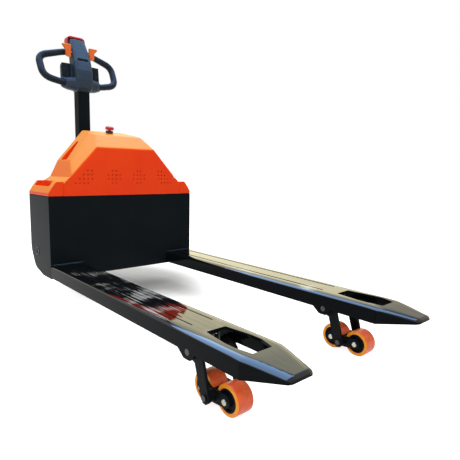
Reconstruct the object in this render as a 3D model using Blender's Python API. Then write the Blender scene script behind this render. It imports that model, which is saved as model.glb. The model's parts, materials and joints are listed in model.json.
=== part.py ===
"""Electric pallet truck: drive unit with tiller, battery box and forks on a lift linkage.

Metres, +Z up, forks towards -Y. The truck stands with its forks raised. Lengths called reach
are measured from the battery box's front plate towards the fork tips, heights from the floor.
"""

import bmesh
import bpy
import math
from mathutils import Matrix, Vector

clearance = 0.0003

# forks
overall_width = 0.685
fork_width = 0.140
fork_length = 1.228
fork_depth = 0.050
fork_side_skin = 0.006
fork_top_skin = 0.008
fork_edge_radius = 0.007
raised_height = 0.190
lift_travel = 0.105
nose_width = 0.076
nose_length = 0.116
nose_top_drop = 0.014
nose_bottom_rise = 0.023
nose_block = 0.086
window_setback = 0.115
window_length = 0.162
window_end_width = 0.062
window_width = 0.084
groove_spacing = 0.066
groove_width = 0.011
groove_depth = 0.0015
groove_start = 0.060
groove_setback = 0.338

# load wheels, their bogie and the arm that carries it
wheel_diameter = 0.080
wheel_width = 0.050
tyre_thickness = 0.0105
axle_spacing = 0.0895
axle_radius = 0.008
axle_hole_slack = 0.0003
bogie_setback = 0.246
bogie_pin_height = 0.038
bogie_plate = 0.006
bogie_side_gap = 0.0015
trunnion_radius = 0.009
arm_plate = 0.008
arm_offset = 0.050
arm_width = 0.034
arm_pivot_setback = 0.303
arm_pivot_drop = 0.051
arm_bend = 0.030
arm_bend_drop = 0.012
arm_pin_radius = 0.009
lug_radius = 0.019

# lift linkage
crank_radius = 0.032
crank_pin_radius = 0.005
crank_half_width = 0.006
clevis_half_width = 0.013
clevis_half_height = 0.0115
rod_radius = 0.008
shaft_radius = 0.014
shaft_back = 0.085
roller_radius = 0.012
roller_width = 0.012
roller_slack = 0.0013
shelf_plate = 0.006
shelf_width = 0.052

# battery box, heights with the forks raised
box_depth = 0.235
box_rise = 0.2767
box_drop = 0.056
box_front_plate = 0.008
box_side_plate = 0.006
box_floor_plate = 0.005
box_corner_radius = 0.045
tie_hole_radius = 0.014
battery_width = 0.340
battery_gap = 0.014
bay_gap = 0.015
oil_tank_height = 0.085
pump_radius = 0.042
controller_height = 0.045
fin_height = 0.030
fin_spacing = 0.022

# moulded cover
cover_wall = 0.004
cover_height = 0.2873
cover_front_height = 0.2028
grip_middle = 0.162
grip_width = 0.068
grip_height = 0.108
grip_depth = 0.030
cover_edge_radius = 0.006
cap_width = 0.0622
cap_height = 0.0590
vent_radius = 0.0033
vent_pitch = 0.0175
stop_back = 0.165
stop_radius = 0.019
stop_travel = 0.004

# drive unit
steer_back = 0.425
drive_wheel_diameter = 0.210
drive_wheel_width = 0.070
drive_tyre_thickness = 0.020
bearing_radius = 0.105
bearing_bore = 0.0785
bearing_height = 0.0217
turntable_plate = 0.012
carriage_back = 0.290
carriage_plate = 0.010
carriage_width = 0.191
carriage_top = 0.390
tongue_depth = 0.019
rail_width = 0.029
rail_depth = 0.0775
cylinder_radius = 0.022
cylinder_height = 0.165
ram_radius = 0.012
motor_radius = 0.058
motor_height = 0.134
brake_radius = 0.044
brake_height = 0.030
hood_radius = 0.104
hood_wall = 0.003

# tiller
tiller_back = 0.4626
tiller_pivot_height = 0.600
tiller_tube = 0.060
tiller_tube_wall = 0.003
tiller_pin_radius = 0.010
head_bottom = 0.965
head_height = 0.257
head_lean = 0.066
head_width = 0.091
head_depth = 0.090
saddle_width = 0.200
saddle_height = 0.060
loop_width = 0.380
loop_drop = 0.156
loop_lean = 0.054
loop_corner = 0.040
loop_radius = 0.0165
ear_tilt = -0.10
pad_thickness = 0.0035
pad_width = 0.045
pad_height = 0.066
wing_span = 0.178
wing_height = 0.062
button_radius = 0.008
button_travel = 0.002
belly_width = 0.098
belly_travel = 0.008
belly_stem_radius = 0.004
belly_stem_length = 0.022
spring_wire = 0.0018
boss_radius = 0.0165
cheek_spacing = 0.125
cheek_plate = 0.008

# worked out from the sizes above
half_width = overall_width / 2
fork_centre = (overall_width - fork_width) / 2
fork_half = fork_width / 2
fork_bottom = raised_height - fork_depth
fork_ceiling = raised_height - fork_top_skin
channel_half = fork_half - fork_side_skin
nose_reach = fork_length - nose_length
channel_reach = fork_length - nose_block
window_rear = fork_length - window_setback - window_length
groove_end = fork_length - groove_setback
arm_pivot_reach = fork_length - arm_pivot_setback
bogie_reach = fork_length - bogie_setback
wheel_radius = wheel_diameter / 2
wheel_half = wheel_width / 2
hub_radius = wheel_radius - tyre_thickness
bogie_inner = wheel_half + bogie_side_gap
bogie_outer = bogie_inner + bogie_plate
arm_outer = arm_offset + arm_plate
box_top = raised_height + box_rise
box_skirt = raised_height - box_drop
ram_top = box_top - 0.027
drive_radius = drive_wheel_diameter / 2

# the arm swings from its raised angle to its lowered one while the forks come down
arm_pivot = Vector((0, -arm_pivot_reach, raised_height - arm_pivot_drop))
bogie_pin = Vector((0, -bogie_reach, bogie_pin_height))
arm_length = (bogie_pin - arm_pivot).length
arm_raised_angle = math.asin((arm_pivot.z - bogie_pin.z) / arm_length)
arm_lowered_angle = math.asin((arm_pivot.z - lift_travel - bogie_pin.z) / arm_length)
bay_width = half_width - box_side_plate - battery_width / 2 - 2 * bay_gap
arm_swing = arm_raised_angle - arm_lowered_angle
half_swing = arm_swing / 2

# each crank works evenly either side of upright, so its pin rises and falls by crank_rise
crank_run = crank_radius * math.sin(half_swing)
crank_rise = crank_radius * (1 - math.cos(half_swing))
rod_height = arm_pivot.z + crank_radius - crank_rise / 2
shaft_centre = Vector((0, shaft_back, rod_height + crank_radius - crank_rise / 2))
lever_length = lift_travel / 2 / math.sin(half_swing)
roller_centre = shaft_centre + Vector((0, lever_length * math.cos(half_swing), -lift_travel / 2))
shelf_slot_half = roller_radius + roller_slack
shelf_bottom = roller_centre.z - shelf_slot_half - shelf_plate
shelf_top = roller_centre.z + shelf_slot_half + shelf_plate
floor_height = shelf_top + lift_travel + 0.0035

# heights in the drive unit, from the wheel upwards
shoulder_bottom = drive_wheel_diameter + 0.0057
shoulder_top = shoulder_bottom + turntable_plate
bearing_bottom = shoulder_top + clearance
plate_bottom = bearing_bottom + bearing_height + clearance
plate_top = plate_bottom + turntable_plate
neck_radius = bearing_bore - 0.0025
base_radius = neck_radius + 0.008
neck_top = plate_top + 0.013
base_top = neck_top + clearance + 0.010
motor_bottom = base_top + clearance
motor_top = motor_bottom + motor_height
head_top = head_bottom + head_height
head_axis = Vector((0, head_lean, head_height)).normalized()
head_rear = tiller_back + head_lean + 0.028

# the bounding box's middle lies over the origin
shift_back = (fork_length - head_rear) / 2


# ---- shapes ----

def remove_everything():
    for thing in list(bpy.data.objects):
        bpy.data.objects.remove(thing, do_unlink=True)


def to_object(bm):
    bmesh.ops.recalc_face_normals(bm, faces=bm.faces)
    mesh = bpy.data.meshes.new("shape")
    bm.to_mesh(mesh)
    bm.free()
    shape = bpy.data.objects.new("shape", mesh)
    bpy.context.scene.collection.objects.link(shape)
    return shape


def rounded(corners, steps=2):
    """Outline of a polygon whose corners (u, v, radius) are rounded with arcs."""
    outline = []
    for index, (u, v, radius) in enumerate(corners):
        here = Vector((u, v))
        before = Vector(corners[index - 1][:2]) - here
        after = Vector(corners[(index + 1) % len(corners)][:2]) - here
        if radius <= 0:
            outline.append(here)
            continue
        opening = before.angle(after)
        reach = min(radius / math.tan(opening / 2), 0.48 * before.length, 0.48 * after.length)
        bow = reach * math.tan(opening / 2)
        middle = (before.normalized() + after.normalized()).normalized()
        centre = here + middle * bow / math.sin(opening / 2)
        start = here + before.normalized() * reach - centre
        turn = start.angle_signed(here + after.normalized() * reach - centre)
        for step in range(steps + 1):
            outline.append(centre + Matrix.Rotation(-turn * step / steps, 2) @ start)
    return outline


def circle(u, v, radius, sides=20):
    turns = [2 * math.pi * step / sides for step in range(sides)]
    return [Vector((u + radius * math.cos(turn), v + radius * math.sin(turn))) for turn in turns]


def strap(first, first_radius, second, second_radius, steps=4):
    """Outline of a bar round two circles, each a centre (u, v) and a radius."""
    first, second = Vector(first), Vector(second)
    along = second - first
    heading = math.atan2(along.y, along.x)
    spread = math.acos((first_radius - second_radius) / along.length)
    outline = []
    for centre, radius, start, end in (
        (first, first_radius, heading + spread, heading + 2 * math.pi - spread),
        (second, second_radius, heading - spread, heading + spread),
    ):
        for step in range(steps + 1):
            turn = start + (end - start) * step / steps
            outline.append(centre + radius * Vector((math.cos(turn), math.sin(turn))))
    return outline


def wrapped(rounds, sides=14):
    """Outline drawn tight round several circles across X, each a centre and a radius."""
    spots = sorted({(round(p.x, 7), round(p.y, 7)) for centre, radius in rounds
                    for p in circle(centre.y, centre.z, radius, sides)})
    outline = []
    for row in (spots, spots[::-1]):
        chain = []
        for spot in row:
            while len(chain) > 1 and turn_of(chain[-2], chain[-1], spot) < 1e-10:
                chain.pop()
            chain.append(spot)
        outline += chain[:-1]
    return [Vector(spot) for spot in outline]


def turn_of(a, b, c):
    return (b[0] - a[0]) * (c[1] - a[1]) - (b[1] - a[1]) * (c[0] - a[0])


def lay(axis, u, v, along):
    """Point of a section across the named axis: u and v are the other two axes in order."""
    return Vector({"X": (along, u, v), "Y": (u, along, v), "Z": (u, v, along)}[axis])


def prism(outline, axis, low, high):
    bm = bmesh.new()
    near = [bm.verts.new(lay(axis, u, v, low)) for u, v in outline]
    far = [bm.verts.new(lay(axis, u, v, high)) for u, v in outline]
    bm.faces.new(near)
    bm.faces.new(far)
    for index in range(len(outline)):
        bm.faces.new((near[index - 1], near[index], far[index], far[index - 1]))
    return to_object(bm)


def cylinder(axis, u, v, radius, low, high, sides=20):
    return prism(circle(u, v, radius, sides), axis, low, high)


def box(low, high, bevel=0, segments=1):
    bm = bmesh.new()
    size = Vector(high) - Vector(low)
    middle = (Vector(high) + Vector(low)) / 2
    bmesh.ops.create_cube(bm, matrix=Matrix.Translation(middle) @ Matrix.Diagonal((*size, 1)))
    if bevel:
        bmesh.ops.bevel(bm, geom=bm.edges[:], offset=bevel, segments=segments, profile=0.5,
                        affect="EDGES", clamp_overlap=True)
    return to_object(bm)


def turned(profile, axis, u, v, sides=20):
    """Solid turned about a line along the axis; profile is a loop of (radius, along)."""
    bm = bmesh.new()
    rings = []
    for radius, along in profile:
        if radius == 0:
            rings.append([bm.verts.new(lay(axis, u, v, along))] * sides)
        else:
            rings.append([bm.verts.new(lay(axis, *point, along)) for point in circle(u, v, radius, sides)])
    for index, ring in enumerate(rings):
        last = rings[index - 1]
        for step in range(sides):
            corners = list(dict.fromkeys((last[step - 1], last[step], ring[step], ring[step - 1])))
            if len(corners) > 2:
                bm.faces.new(corners)
    return to_object(bm)


def loft(sections):
    """Solid through a row of sections, each a loop of points of the same count."""
    bm = bmesh.new()
    rings = [[bm.verts.new(point) for point in section] for section in sections]
    for last, ring in zip(rings, rings[1:]):
        for step in range(len(ring)):
            bm.faces.new((last[step - 1], last[step], ring[step], ring[step - 1]))
    bm.faces.new(rings[0])
    bm.faces.new(rings[-1])
    return to_object(bm)


def swept(path, radius, sides=10):
    """Round bar along a path of points; its sections turn with the path."""
    sections = []
    side = Vector((0, 1, 0))
    for index, point in enumerate(path):
        ahead = path[min(index + 1, len(path) - 1)] - path[max(index - 1, 0)]
        ahead.normalize()
        side = (side - ahead * side.dot(ahead)).normalized()
        other = ahead.cross(side)
        sections.append([point + u * side + v * other for u, v in circle(0, 0, radius, sides)])
    return loft(sections)


def bent(points, radius, steps=4):
    """Path through the points with its inner corners rounded."""
    path = [points[0]]
    for before, here, after in zip(points, points[1:], points[2:]):
        back, on = (before - here), (after - here)
        reach = min(radius, 0.48 * back.length, 0.48 * on.length)
        start, end = here + back.normalized() * reach, here + on.normalized() * reach
        for step in range(steps + 1):
            share = step / steps
            path.append(start.lerp(here, share).lerp(here.lerp(end, share), share))
    path.append(points[-1])
    return path


def clipped(planes, inset=0.0):
    """Convex solid inside planes (point, outward normal), each moved in by the inset."""
    bm = bmesh.new()
    bmesh.ops.create_cube(bm, size=4)
    for point, normal in planes:
        normal = Vector(normal).normalized()
        cut = bmesh.ops.bisect_plane(bm, geom=bm.verts[:] + bm.edges[:] + bm.faces[:], dist=1e-7,
                                     plane_co=Vector(point) - normal * inset, plane_no=normal,
                                     clear_outer=True)
        edges = [item for item in cut["geom_cut"] if isinstance(item, bmesh.types.BMEdge)]
        if edges:
            bmesh.ops.contextual_create(bm, geom=edges)
    return to_object(bm)


def combine(kind, shape, others):
    """Boolean of a shape with others, which it uses up."""
    for other in others:
        modifier = shape.modifiers.new(kind, "BOOLEAN")
        modifier.operation = kind
        modifier.solver = "EXACT"
        modifier.object = other
    graph = bpy.context.evaluated_depsgraph_get()
    graph.update()
    mesh = bpy.data.meshes.new_from_object(shape.evaluated_get(graph))
    shape.modifiers.clear()
    shape.data = mesh
    for other in others:
        bpy.data.objects.remove(other, do_unlink=True)
    return shape


def tidy(shape):
    """Merges flat neighbours that booleans leave, where the shape stays closed."""
    bm = bmesh.new()
    bm.from_mesh(shape.data)
    bmesh.ops.remove_doubles(bm, verts=bm.verts, dist=2e-6)
    bmesh.ops.dissolve_limit(bm, angle_limit=math.radians(0.05), verts=bm.verts, edges=bm.edges)
    bmesh.ops.triangulate(bm, faces=[face for face in bm.faces if len(face.verts) > 4])
    if all(edge.is_manifold for edge in bm.edges):
        bm.to_mesh(shape.data)
    bm.free()


def joined(shapes):
    """One tool of several shapes that lie apart."""
    bm = bmesh.new()
    for shape in shapes:
        bm.from_mesh(shape.data)
        bpy.data.objects.remove(shape, do_unlink=True)
    return to_object(bm)


def unite(shape, *others):
    return combine("UNION", shape, others)


def cut(shape, *others):
    return combine("DIFFERENCE", shape, others)


def common(shape, *others):
    return combine("INTERSECT", shape, others)


def soften(shape, width, segments=1, angle=40):
    """Rounds the edges that are sharper than the angle."""
    bm = bmesh.new()
    bm.from_mesh(shape.data)
    edges = [edge for edge in bm.edges if edge.is_manifold
             and edge.calc_face_angle() > math.radians(angle)]
    bmesh.ops.bevel(bm, geom=edges, offset=width, segments=segments, profile=0.5,
                    affect="EDGES", clamp_overlap=True)
    bm.to_mesh(shape.data)
    bm.free()
    return shape


def moved(shape, offset):
    shape.data.transform(Matrix.Translation(Vector(offset)))
    return shape


def tilted(shape, pivot, angle):
    """Turns a shape about a line through the pivot along X."""
    pivot = Matrix.Translation(Vector(pivot))
    shape.data.transform(pivot @ Matrix.Rotation(angle, 4, "X") @ pivot.inverted())
    return shape


# ---- materials and placing ----

def to_linear(value):
    return value / 12.92 if value <= 0.04045 else ((value + 0.055) / 1.055) ** 2.4


def material(name, colour, roughness, metallic=0.0):
    made = bpy.data.materials.new(name)
    made.use_nodes = True
    shader = made.node_tree.nodes["Principled BSDF"]
    channels = [to_linear(int(colour[place:place + 2], 16) / 255) for place in (1, 3, 5)]
    shader.inputs["Base Color"].default_value = (*channels, 1)
    shader.inputs["Roughness"].default_value = roughness
    shader.inputs["Metallic"].default_value = metallic
    made.diffuse_color = (*channels, 1)
    return made


def make_materials():
    return {
        "black_paint": material("black_paint", "#0C0D0F", 0.28),
        "orange_cover": material("orange_cover", "#E8400F", 0.35),
        "polyurethane": material("polyurethane", "#E5531B", 0.32),
        "black_casting": material("black_casting", "#16171A", 0.45, 0.3),
        "head_plastic": material("head_plastic", "#1E2A3A", 0.5),
        "grip_rubber": material("grip_rubber", "#101318", 0.6),
        "lever_orange": material("lever_orange", "#E2580E", 0.4),
        "signal_red": material("signal_red", "#C8131B", 0.35),
        "steel": material("steel", "#B9B4A4", 0.3, 1.0),
        "chrome": material("chrome", "#D5D7DA", 0.1, 1.0),
        "dark_steel": material("dark_steel", "#3A3B3E", 0.4, 0.8),
        "motor_grey": material("motor_grey", "#5A5E63", 0.5, 0.4),
        "black_plastic": material("black_plastic", "#121316", 0.55),
        "battery_grey": material("battery_grey", "#2B2E33", 0.5),
    }


class Truck:
    """Names finished shapes, paints them and hangs them on the truck's empty."""

    def __init__(self):
        self.frame = bpy.data.objects.new("truck", None)
        bpy.context.scene.collection.objects.link(self.frame)
        self.frame.location = (0, shift_back, 0)
        self.materials = make_materials()

    def add(self, name, shape, paint, pivot=(0, 0, 0), smooth=30):
        tidy(shape)
        shape.name = name
        shape.data.name = name
        shape.data.materials.clear()
        shape.data.materials.append(self.materials[paint])
        shape.data.transform(Matrix.Translation(-Vector(pivot)))
        shape.data.shade_smooth()
        shape.data.set_sharp_from_angle(angle=math.radians(smooth))
        shape.parent = self.frame
        shape.location = Vector(pivot)
        return shape


# ---- forks ----

def fork_plan(centre, skin, reach):
    """Outline of a fork from above, drawn in by the skin and ended at the reach."""
    share = (reach - nose_reach) / (fork_length - nose_reach)
    tip = fork_half + (nose_width / 2 - fork_half) * share - skin
    side = fork_half - skin
    rear = clearance - skin
    return rounded([
        (centre - side, -rear, 0),
        (centre - side, -nose_reach, 0.040),
        (centre - tip, -reach, 0.010),
        (centre + tip, -reach, 0.010),
        (centre + side, -nose_reach, 0.040),
        (centre + side, -rear, 0),
    ])


def taper_nose(bm):
    """Slopes the top down and the underside up from the start of the nose to its tip."""
    bmesh.ops.bisect_plane(bm, geom=bm.verts[:] + bm.edges[:] + bm.faces[:], dist=1e-6,
                           plane_co=(0, -nose_reach, 0), plane_no=(0, -1, 0))
    middle = raised_height - fork_depth / 2
    for vert in bm.verts:
        share = max(0, (-vert.co.y - nose_reach) / (fork_length - nose_reach))
        vert.co.z += share * (-nose_top_drop if vert.co.z > middle else nose_bottom_rise)


def lug_outline():
    top = fork_bottom + 0.006
    low = arm_pivot.z - lug_radius
    return rounded([
        (arm_pivot.y + 2.5 * lug_radius, top, 0),
        (arm_pivot.y + 0.75 * lug_radius, low, 0.012),
        (arm_pivot.y - 0.75 * lug_radius, low, 0.012),
        (arm_pivot.y - 1.9 * lug_radius, top, 0),
    ])


def fork(side):
    centre = side * fork_centre
    blank = prism(fork_plan(centre, 0, fork_length), "Z", fork_bottom, raised_height)
    bm = bmesh.new()
    bm.from_mesh(blank.data)
    rim = [edge for edge in bm.edges
           if all(vert.co.z > raised_height - 1e-5 for vert in edge.verts)
           and any(vert.co.y < -2 * clearance for vert in edge.verts)]
    bmesh.ops.bevel(bm, geom=rim, offset=fork_edge_radius, segments=2, profile=0.5, affect="EDGES")
    taper_nose(bm)
    bm.to_mesh(blank.data)
    bm.free()

    channel = prism(fork_plan(centre, fork_side_skin, channel_reach), "Z", fork_bottom - 0.02, fork_ceiling)
    end, half = window_end_width / 2, window_width / 2
    front = window_rear + window_length
    window = prism(rounded([
        (centre - end, -window_rear, 0.004),
        (centre - half, -window_rear - 0.52 * window_length, 0.010),
        (centre - half, -front + 0.28 * window_length, 0.010),
        (centre - end, -front, 0.004),
        (centre + end, -front, 0.004),
        (centre + half, -front + 0.28 * window_length, 0.010),
        (centre + half, -window_rear - 0.52 * window_length, 0.010),
        (centre + end, -window_rear, 0.004),
    ], 2), "Z", fork_ceiling - 0.01, raised_height + 0.01)
    grooves = []
    for line in (-1, 1):
        middle = centre + line * groove_spacing / 2
        grooves.append(prism(strap((middle, -groove_start), groove_width / 2,
                                   (middle, -groove_end), groove_width / 2, 3),
                             "Z", raised_height - groove_depth, raised_height + 0.01))
    lugs = []
    for wall in (-1, 1):
        near, far = sorted((centre + wall * channel_half, centre + wall * fork_half))
        lugs.append(prism(lug_outline(), "X", near + 0.00002, far - 0.00002))
    bore = cylinder("X", arm_pivot.y, arm_pivot.z, arm_pin_radius + clearance,
                    centre - fork_width, centre + fork_width, 16)
    body = cut(blank, channel, window, *grooves)
    return cut(unite(body, *lugs), bore)


# ---- arms, bogies and load wheels ----

def pinned(point):
    return (point.y, point.z)


def load_arm(centre):
    """Two bent cheeks on a pivot tube, with the crank that the push rod works."""
    elbow = arm_pivot - Vector((0, arm_bend, arm_bend_drop))
    half = arm_width / 2
    shapes = []
    for wall in (-1, 1):
        near, far = sorted((centre + wall * arm_offset, centre + wall * arm_outer))
        shapes.append(prism(strap(pinned(arm_pivot), half, pinned(elbow), half), "X", near, far))
        shapes.append(prism(strap(pinned(elbow), half, pinned(bogie_pin), 0.9 * half), "X", near, far))
    boss = channel_half - clearance - 0.0002
    shapes.append(cylinder("X", *pinned(arm_pivot), 0.0135, centre - boss, centre + boss, 16))
    crank = arm_pivot + Vector((0, -crank_run, crank_radius - crank_rise))
    shapes.append(prism(strap(pinned(arm_pivot), 0.0125, pinned(crank), 0.009), "X",
                        centre - crank_half_width, centre + crank_half_width))
    shapes.append(cylinder("X", *pinned(crank), crank_pin_radius,
                           centre - clevis_half_width, centre + clevis_half_width, 12))
    bores = [cylinder("X", *pinned(arm_pivot), arm_pin_radius + clearance, centre - 0.1, centre + 0.1, 16),
             cylinder("X", *pinned(bogie_pin), trunnion_radius + clearance, centre - 0.1, centre + 0.1, 16)]
    return cut(unite(*shapes), *bores)


def axle_points():
    return [Vector((0, bogie_pin.y + place * axle_spacing / 2, wheel_radius)) for place in (-1, 1)]


def bogie(centre):
    """Tandem carrier: a plate each side of the wheels, a web between them and two trunnions."""
    front, rear = axle_points()
    web = axle_spacing - wheel_diameter - 0.0045
    shapes = [box((centre - bogie_outer + 0.001, bogie_pin.y - web / 2, bogie_pin.z - 0.012),
                  (centre + bogie_outer - 0.001, bogie_pin.y + web / 2, bogie_pin.z + 0.018))]
    for wall in (-1, 1):
        near, far = sorted((centre + wall * bogie_inner, centre + wall * bogie_outer))
        shapes.append(prism(wrapped([(bogie_pin, 0.018), (front, 0.016), (rear, 0.016)]), "X", near, far))
        near, far = sorted((centre + wall * bogie_inner, centre + wall * (arm_offset - clearance)))
        shapes.append(cylinder("X", *pinned(bogie_pin), 0.0130, near, far, 16))
        near, far = sorted((centre + wall * bogie_inner, centre + wall * (arm_outer + 0.003)))
        shapes.append(cylinder("X", *pinned(bogie_pin), trunnion_radius, near, far, 16))
    bores = [cylinder("X", *pinned(axle), axle_radius + axle_hole_slack, centre - 0.1, centre + 0.1, 12)
             for axle in (front, rear)]
    return cut(unite(*shapes), *bores)


def load_tyre(centre, axle):
    edge = 0.0035
    inner, outer = hub_radius + clearance, wheel_radius
    return turned([
        (inner, centre - wheel_half), (outer - edge, centre - wheel_half),
        (outer, centre - wheel_half + edge), (outer, centre + wheel_half - edge),
        (outer - edge, centre + wheel_half), (inner, centre + wheel_half),
    ], "X", *pinned(axle), 24)


def load_hub(centre, axle):
    bore = axle_radius + axle_hole_slack
    rim, dish = hub_radius - 0.005, 0.004
    boss = wheel_half + bogie_side_gap - clearance
    half = []
    for wall in (-1, 1):
        half.append([
            (bore, wall * boss), (bore + 0.006, wall * boss),
            (rim, wall * (wheel_half - dish)), (rim, wall * wheel_half), (hub_radius, wall * wheel_half),
        ])
    profile = half[0] + half[1][::-1]
    return turned([(radius, centre + along) for radius, along in profile], "X", *pinned(axle), 16)


def axle_bolt(centre, axle):
    end = bogie_outer + 0.005
    return turned([
        (0, centre - end), (axle_radius - 0.0015, centre - end), (axle_radius, centre - end + 0.0015),
        (axle_radius, centre + end - 0.0015), (axle_radius - 0.0015, centre + end), (0, centre + end),
    ], "X", *pinned(axle), 12)


# ---- lift linkage ----

def clevis(centre, pin_y, inward):
    """Forked rod end at a crank pin; its slots let the pin rise and fall."""
    depth = crank_run + 0.0085
    open_end, shut_end = pin_y - inward * 0.013, pin_y + inward * (depth + 0.010)
    low, high = sorted((open_end, shut_end))
    block = box((centre - clevis_half_width, low, rod_height - clevis_half_height),
                (centre + clevis_half_width, high, rod_height + clevis_half_height), 0.002)
    low, high = sorted((open_end - inward * 0.01, pin_y + inward * depth))
    gap_half = crank_half_width + 2 * clearance
    gap = box((centre - gap_half, low, rod_height - 0.03), (centre + gap_half, high, rod_height + 0.03))
    half, rise = crank_pin_radius + 0.0009, crank_rise / 2 + 0.0005
    slot = prism(strap((pin_y, rod_height - rise), half, (pin_y, rod_height + rise), half, 4), "X",
                 centre - 0.03, centre + 0.03)
    return cut(block, gap, slot), shut_end


def push_rod(centre):
    arm_end, front = clevis(centre, arm_pivot.y - crank_run, 1)
    shaft_end, rear = clevis(centre, shaft_centre.y - crank_run, -1)
    bar = cylinder("Y", centre, rod_height, rod_radius, front - 0.003, rear + 0.003, 12)
    return unite(bar, arm_end, shaft_end)


def torsion_shaft():
    """Cross shaft with a crank at each push rod and the lever that bears on the drive unit."""
    end = fork_centre + clevis_half_width + 0.004
    shapes = [cylinder("X", *pinned(shaft_centre), shaft_radius, -end, end, 20)]
    crank = shaft_centre + Vector((0, -crank_run, crank_rise - crank_radius))
    for centre in (-fork_centre, fork_centre):
        shapes.append(prism(strap(pinned(shaft_centre), 0.018, pinned(crank), 0.009), "X",
                            centre - crank_half_width, centre + crank_half_width))
        shapes.append(cylinder("X", *pinned(crank), crank_pin_radius,
                               centre - clevis_half_width, centre + clevis_half_width, 12))
    shapes.append(prism(strap(pinned(shaft_centre), 0.021, pinned(roller_centre), 0.011), "X",
                        -crank_half_width, crank_half_width))
    hole = cylinder("X", *pinned(roller_centre), 0.0058, -0.02, 0.02, 16)
    return cut(unite(*shapes), hole)


def lever_roller():
    inner = crank_half_width + 2 * clearance
    outer = inner + roller_width
    return turned([
        (0, -outer), (roller_radius, -outer), (roller_radius, -inner), (0.0055, -inner),
        (0.0055, inner), (roller_radius, inner), (roller_radius, outer), (0, outer),
    ], "X", *pinned(roller_centre), 20)


# ---- battery box ----

def battery_box():
    """Welded box: front and side plates, floor, rear wall and shaft brackets."""
    profile = rounded([
        (0, box_top, 0), (0, box_skirt, 0),
        (0.40 * box_depth, box_skirt, 0.030),
        (0.80 * box_depth, box_skirt + 0.022, box_corner_radius),
        (box_depth, box_skirt + 0.095, box_corner_radius),
        (box_depth, box_top, 0),
    ])
    shell = prism(profile, "X", -half_width, half_width)
    inner = half_width - box_side_plate
    wall = box_depth - box_side_plate
    upper = box((-inner, box_front_plate, floor_height + box_floor_plate), (inner, wall, box_top + 0.05))
    lower = box((-inner, box_front_plate, box_skirt - 0.05), (inner, box_depth + 0.05, floor_height))
    body = cut(shell, upper, lower)

    brackets = []
    for side in (-1, 1):
        near, far = sorted((side * (fork_centre - 0.0605), side * (fork_centre - 0.0525)))
        brackets.append(prism(strap(pinned(shaft_centre), 0.024, (shaft_back, floor_height), 0.030), "X",
                              near, far))
    trim = box((-1, 0, floor_height + 0.002), (1, 0.2, floor_height + 0.2))
    brackets = [cut(bracket, twin(trim)) for bracket in brackets]
    bpy.data.objects.remove(trim, do_unlink=True)
    body = unite(body, *brackets)

    slots = []
    for side in (-1, 1):
        rod = side * fork_centre
        slots.append(prism(rounded([
            (rod - 0.024, rod_height - 0.015, 0.006), (rod + 0.024, rod_height - 0.015, 0.006),
            (rod + 0.024, rod_height + 0.013, 0.006), (rod - 0.024, rod_height + 0.013, 0.006),
        ], 2), "Y", -0.01, box_front_plate + 0.01))
        near, far = sorted((side * (half_width - 0.02), side * (half_width + 0.02)))
        slots.append(cylinder("X", 0.655 * box_depth, raised_height + 0.038, tie_hole_radius, near, far, 16))
    slots.append(cylinder("X", *pinned(shaft_centre), shaft_radius + clearance,
                          -fork_centre + 0.03, fork_centre - 0.03, 20))
    return cut(body, *slots)


def lift_guides():
    """Two slotted rails on the box's rear wall, joined by the bar that the ram lifts."""
    rail_low = carriage_top - lift_travel - 0.060
    rail_high = box_top + 0.033
    rail_inner = carriage_width / 2 + 0.0005
    front = box_depth + clearance
    bar_half = rail_inner + 0.004
    shapes = [box((-bar_half, front, ram_top + clearance), (bar_half, box_depth + 0.051, ram_top + 0.018))]
    slots = []
    slot_low, slot_high = carriage_back - clearance, carriage_back + carriage_plate + clearance
    for side in (-1, 1):
        near, far = sorted((side * rail_inner, side * (rail_inner + rail_width)))
        shapes.append(box((near, front, rail_low), (far, box_depth + rail_depth, rail_high), 0.002))
        near, far = sorted((side * (rail_inner - 0.01), side * (rail_inner + tongue_depth)))
        slots.append(box((near, slot_low, rail_low - 0.01), (far, slot_high, rail_high + 0.01)))
    return cut(unite(*shapes), *slots)


def twin(shape):
    copy = bpy.data.objects.new("shape", shape.data.copy())
    bpy.context.scene.collection.objects.link(copy)
    return copy


def battery():
    low, high = floor_height + box_floor_plate + clearance, box_top - 0.012
    half = battery_width / 2
    front, rear = box_front_plate + 0.008, box_depth - battery_gap
    pack = box((-half, front, low), (half, rear, high), 0.006)
    seam = high - 0.030
    groove = cut(box((-half - 0.01, 0, seam - 0.001), (half + 0.01, box_depth, seam + 0.001)),
                 box((-half + 0.002, front + 0.002, seam - 0.01), (half - 0.002, rear - 0.002, seam + 0.01)))
    return cut(pack, groove)


def hydraulic_unit():
    """Oil tank with the pump motor lying on it."""
    low = floor_height + box_floor_plate + clearance
    left = -half_width + box_side_plate + bay_gap
    front, rear = box_front_plate + 0.012, box_depth - 0.030
    middle, top = left + bay_width / 2, low + oil_tank_height
    tank = box((left, front, low), (left + bay_width, rear, top), 0.008)
    motor = cylinder("Y", middle, top + pump_radius - 0.005, pump_radius, front + 0.025, rear - 0.020)
    valve = box((middle - 0.0275, front + 0.040, top - 0.010), (middle + 0.0275, front + 0.090, top + 0.015))
    return unite(tank, motor, valve)


def controller():
    """Finned motor controller."""
    low = floor_height + box_floor_plate + clearance
    right = half_width - box_side_plate - bay_gap
    left, top = right - bay_width, low + controller_height
    front, rear = box_front_plate + 0.022, box_depth - 0.035
    base = box((left, front, low), (right, rear, top), 0.003)
    count = int((bay_width - 0.020) / fin_spacing) + 1
    fins = []
    for index in range(count):
        place = left + 0.010 + fin_spacing * index
        fins.append(box((place, front + 0.010, top - 0.005), (place + 0.004, rear - 0.010, top + fin_height)))
    return unite(base, *fins)


# ---- moulded cover ----

cover_seat = box_top + clearance
cover_top = box_top + cover_height
front_top = box_top + cover_front_height
ledge_height = box_top + cap_height
cover_half = half_width - cap_width - clearance
top_slope = math.atan2(0.0281, 0.1604)


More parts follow.
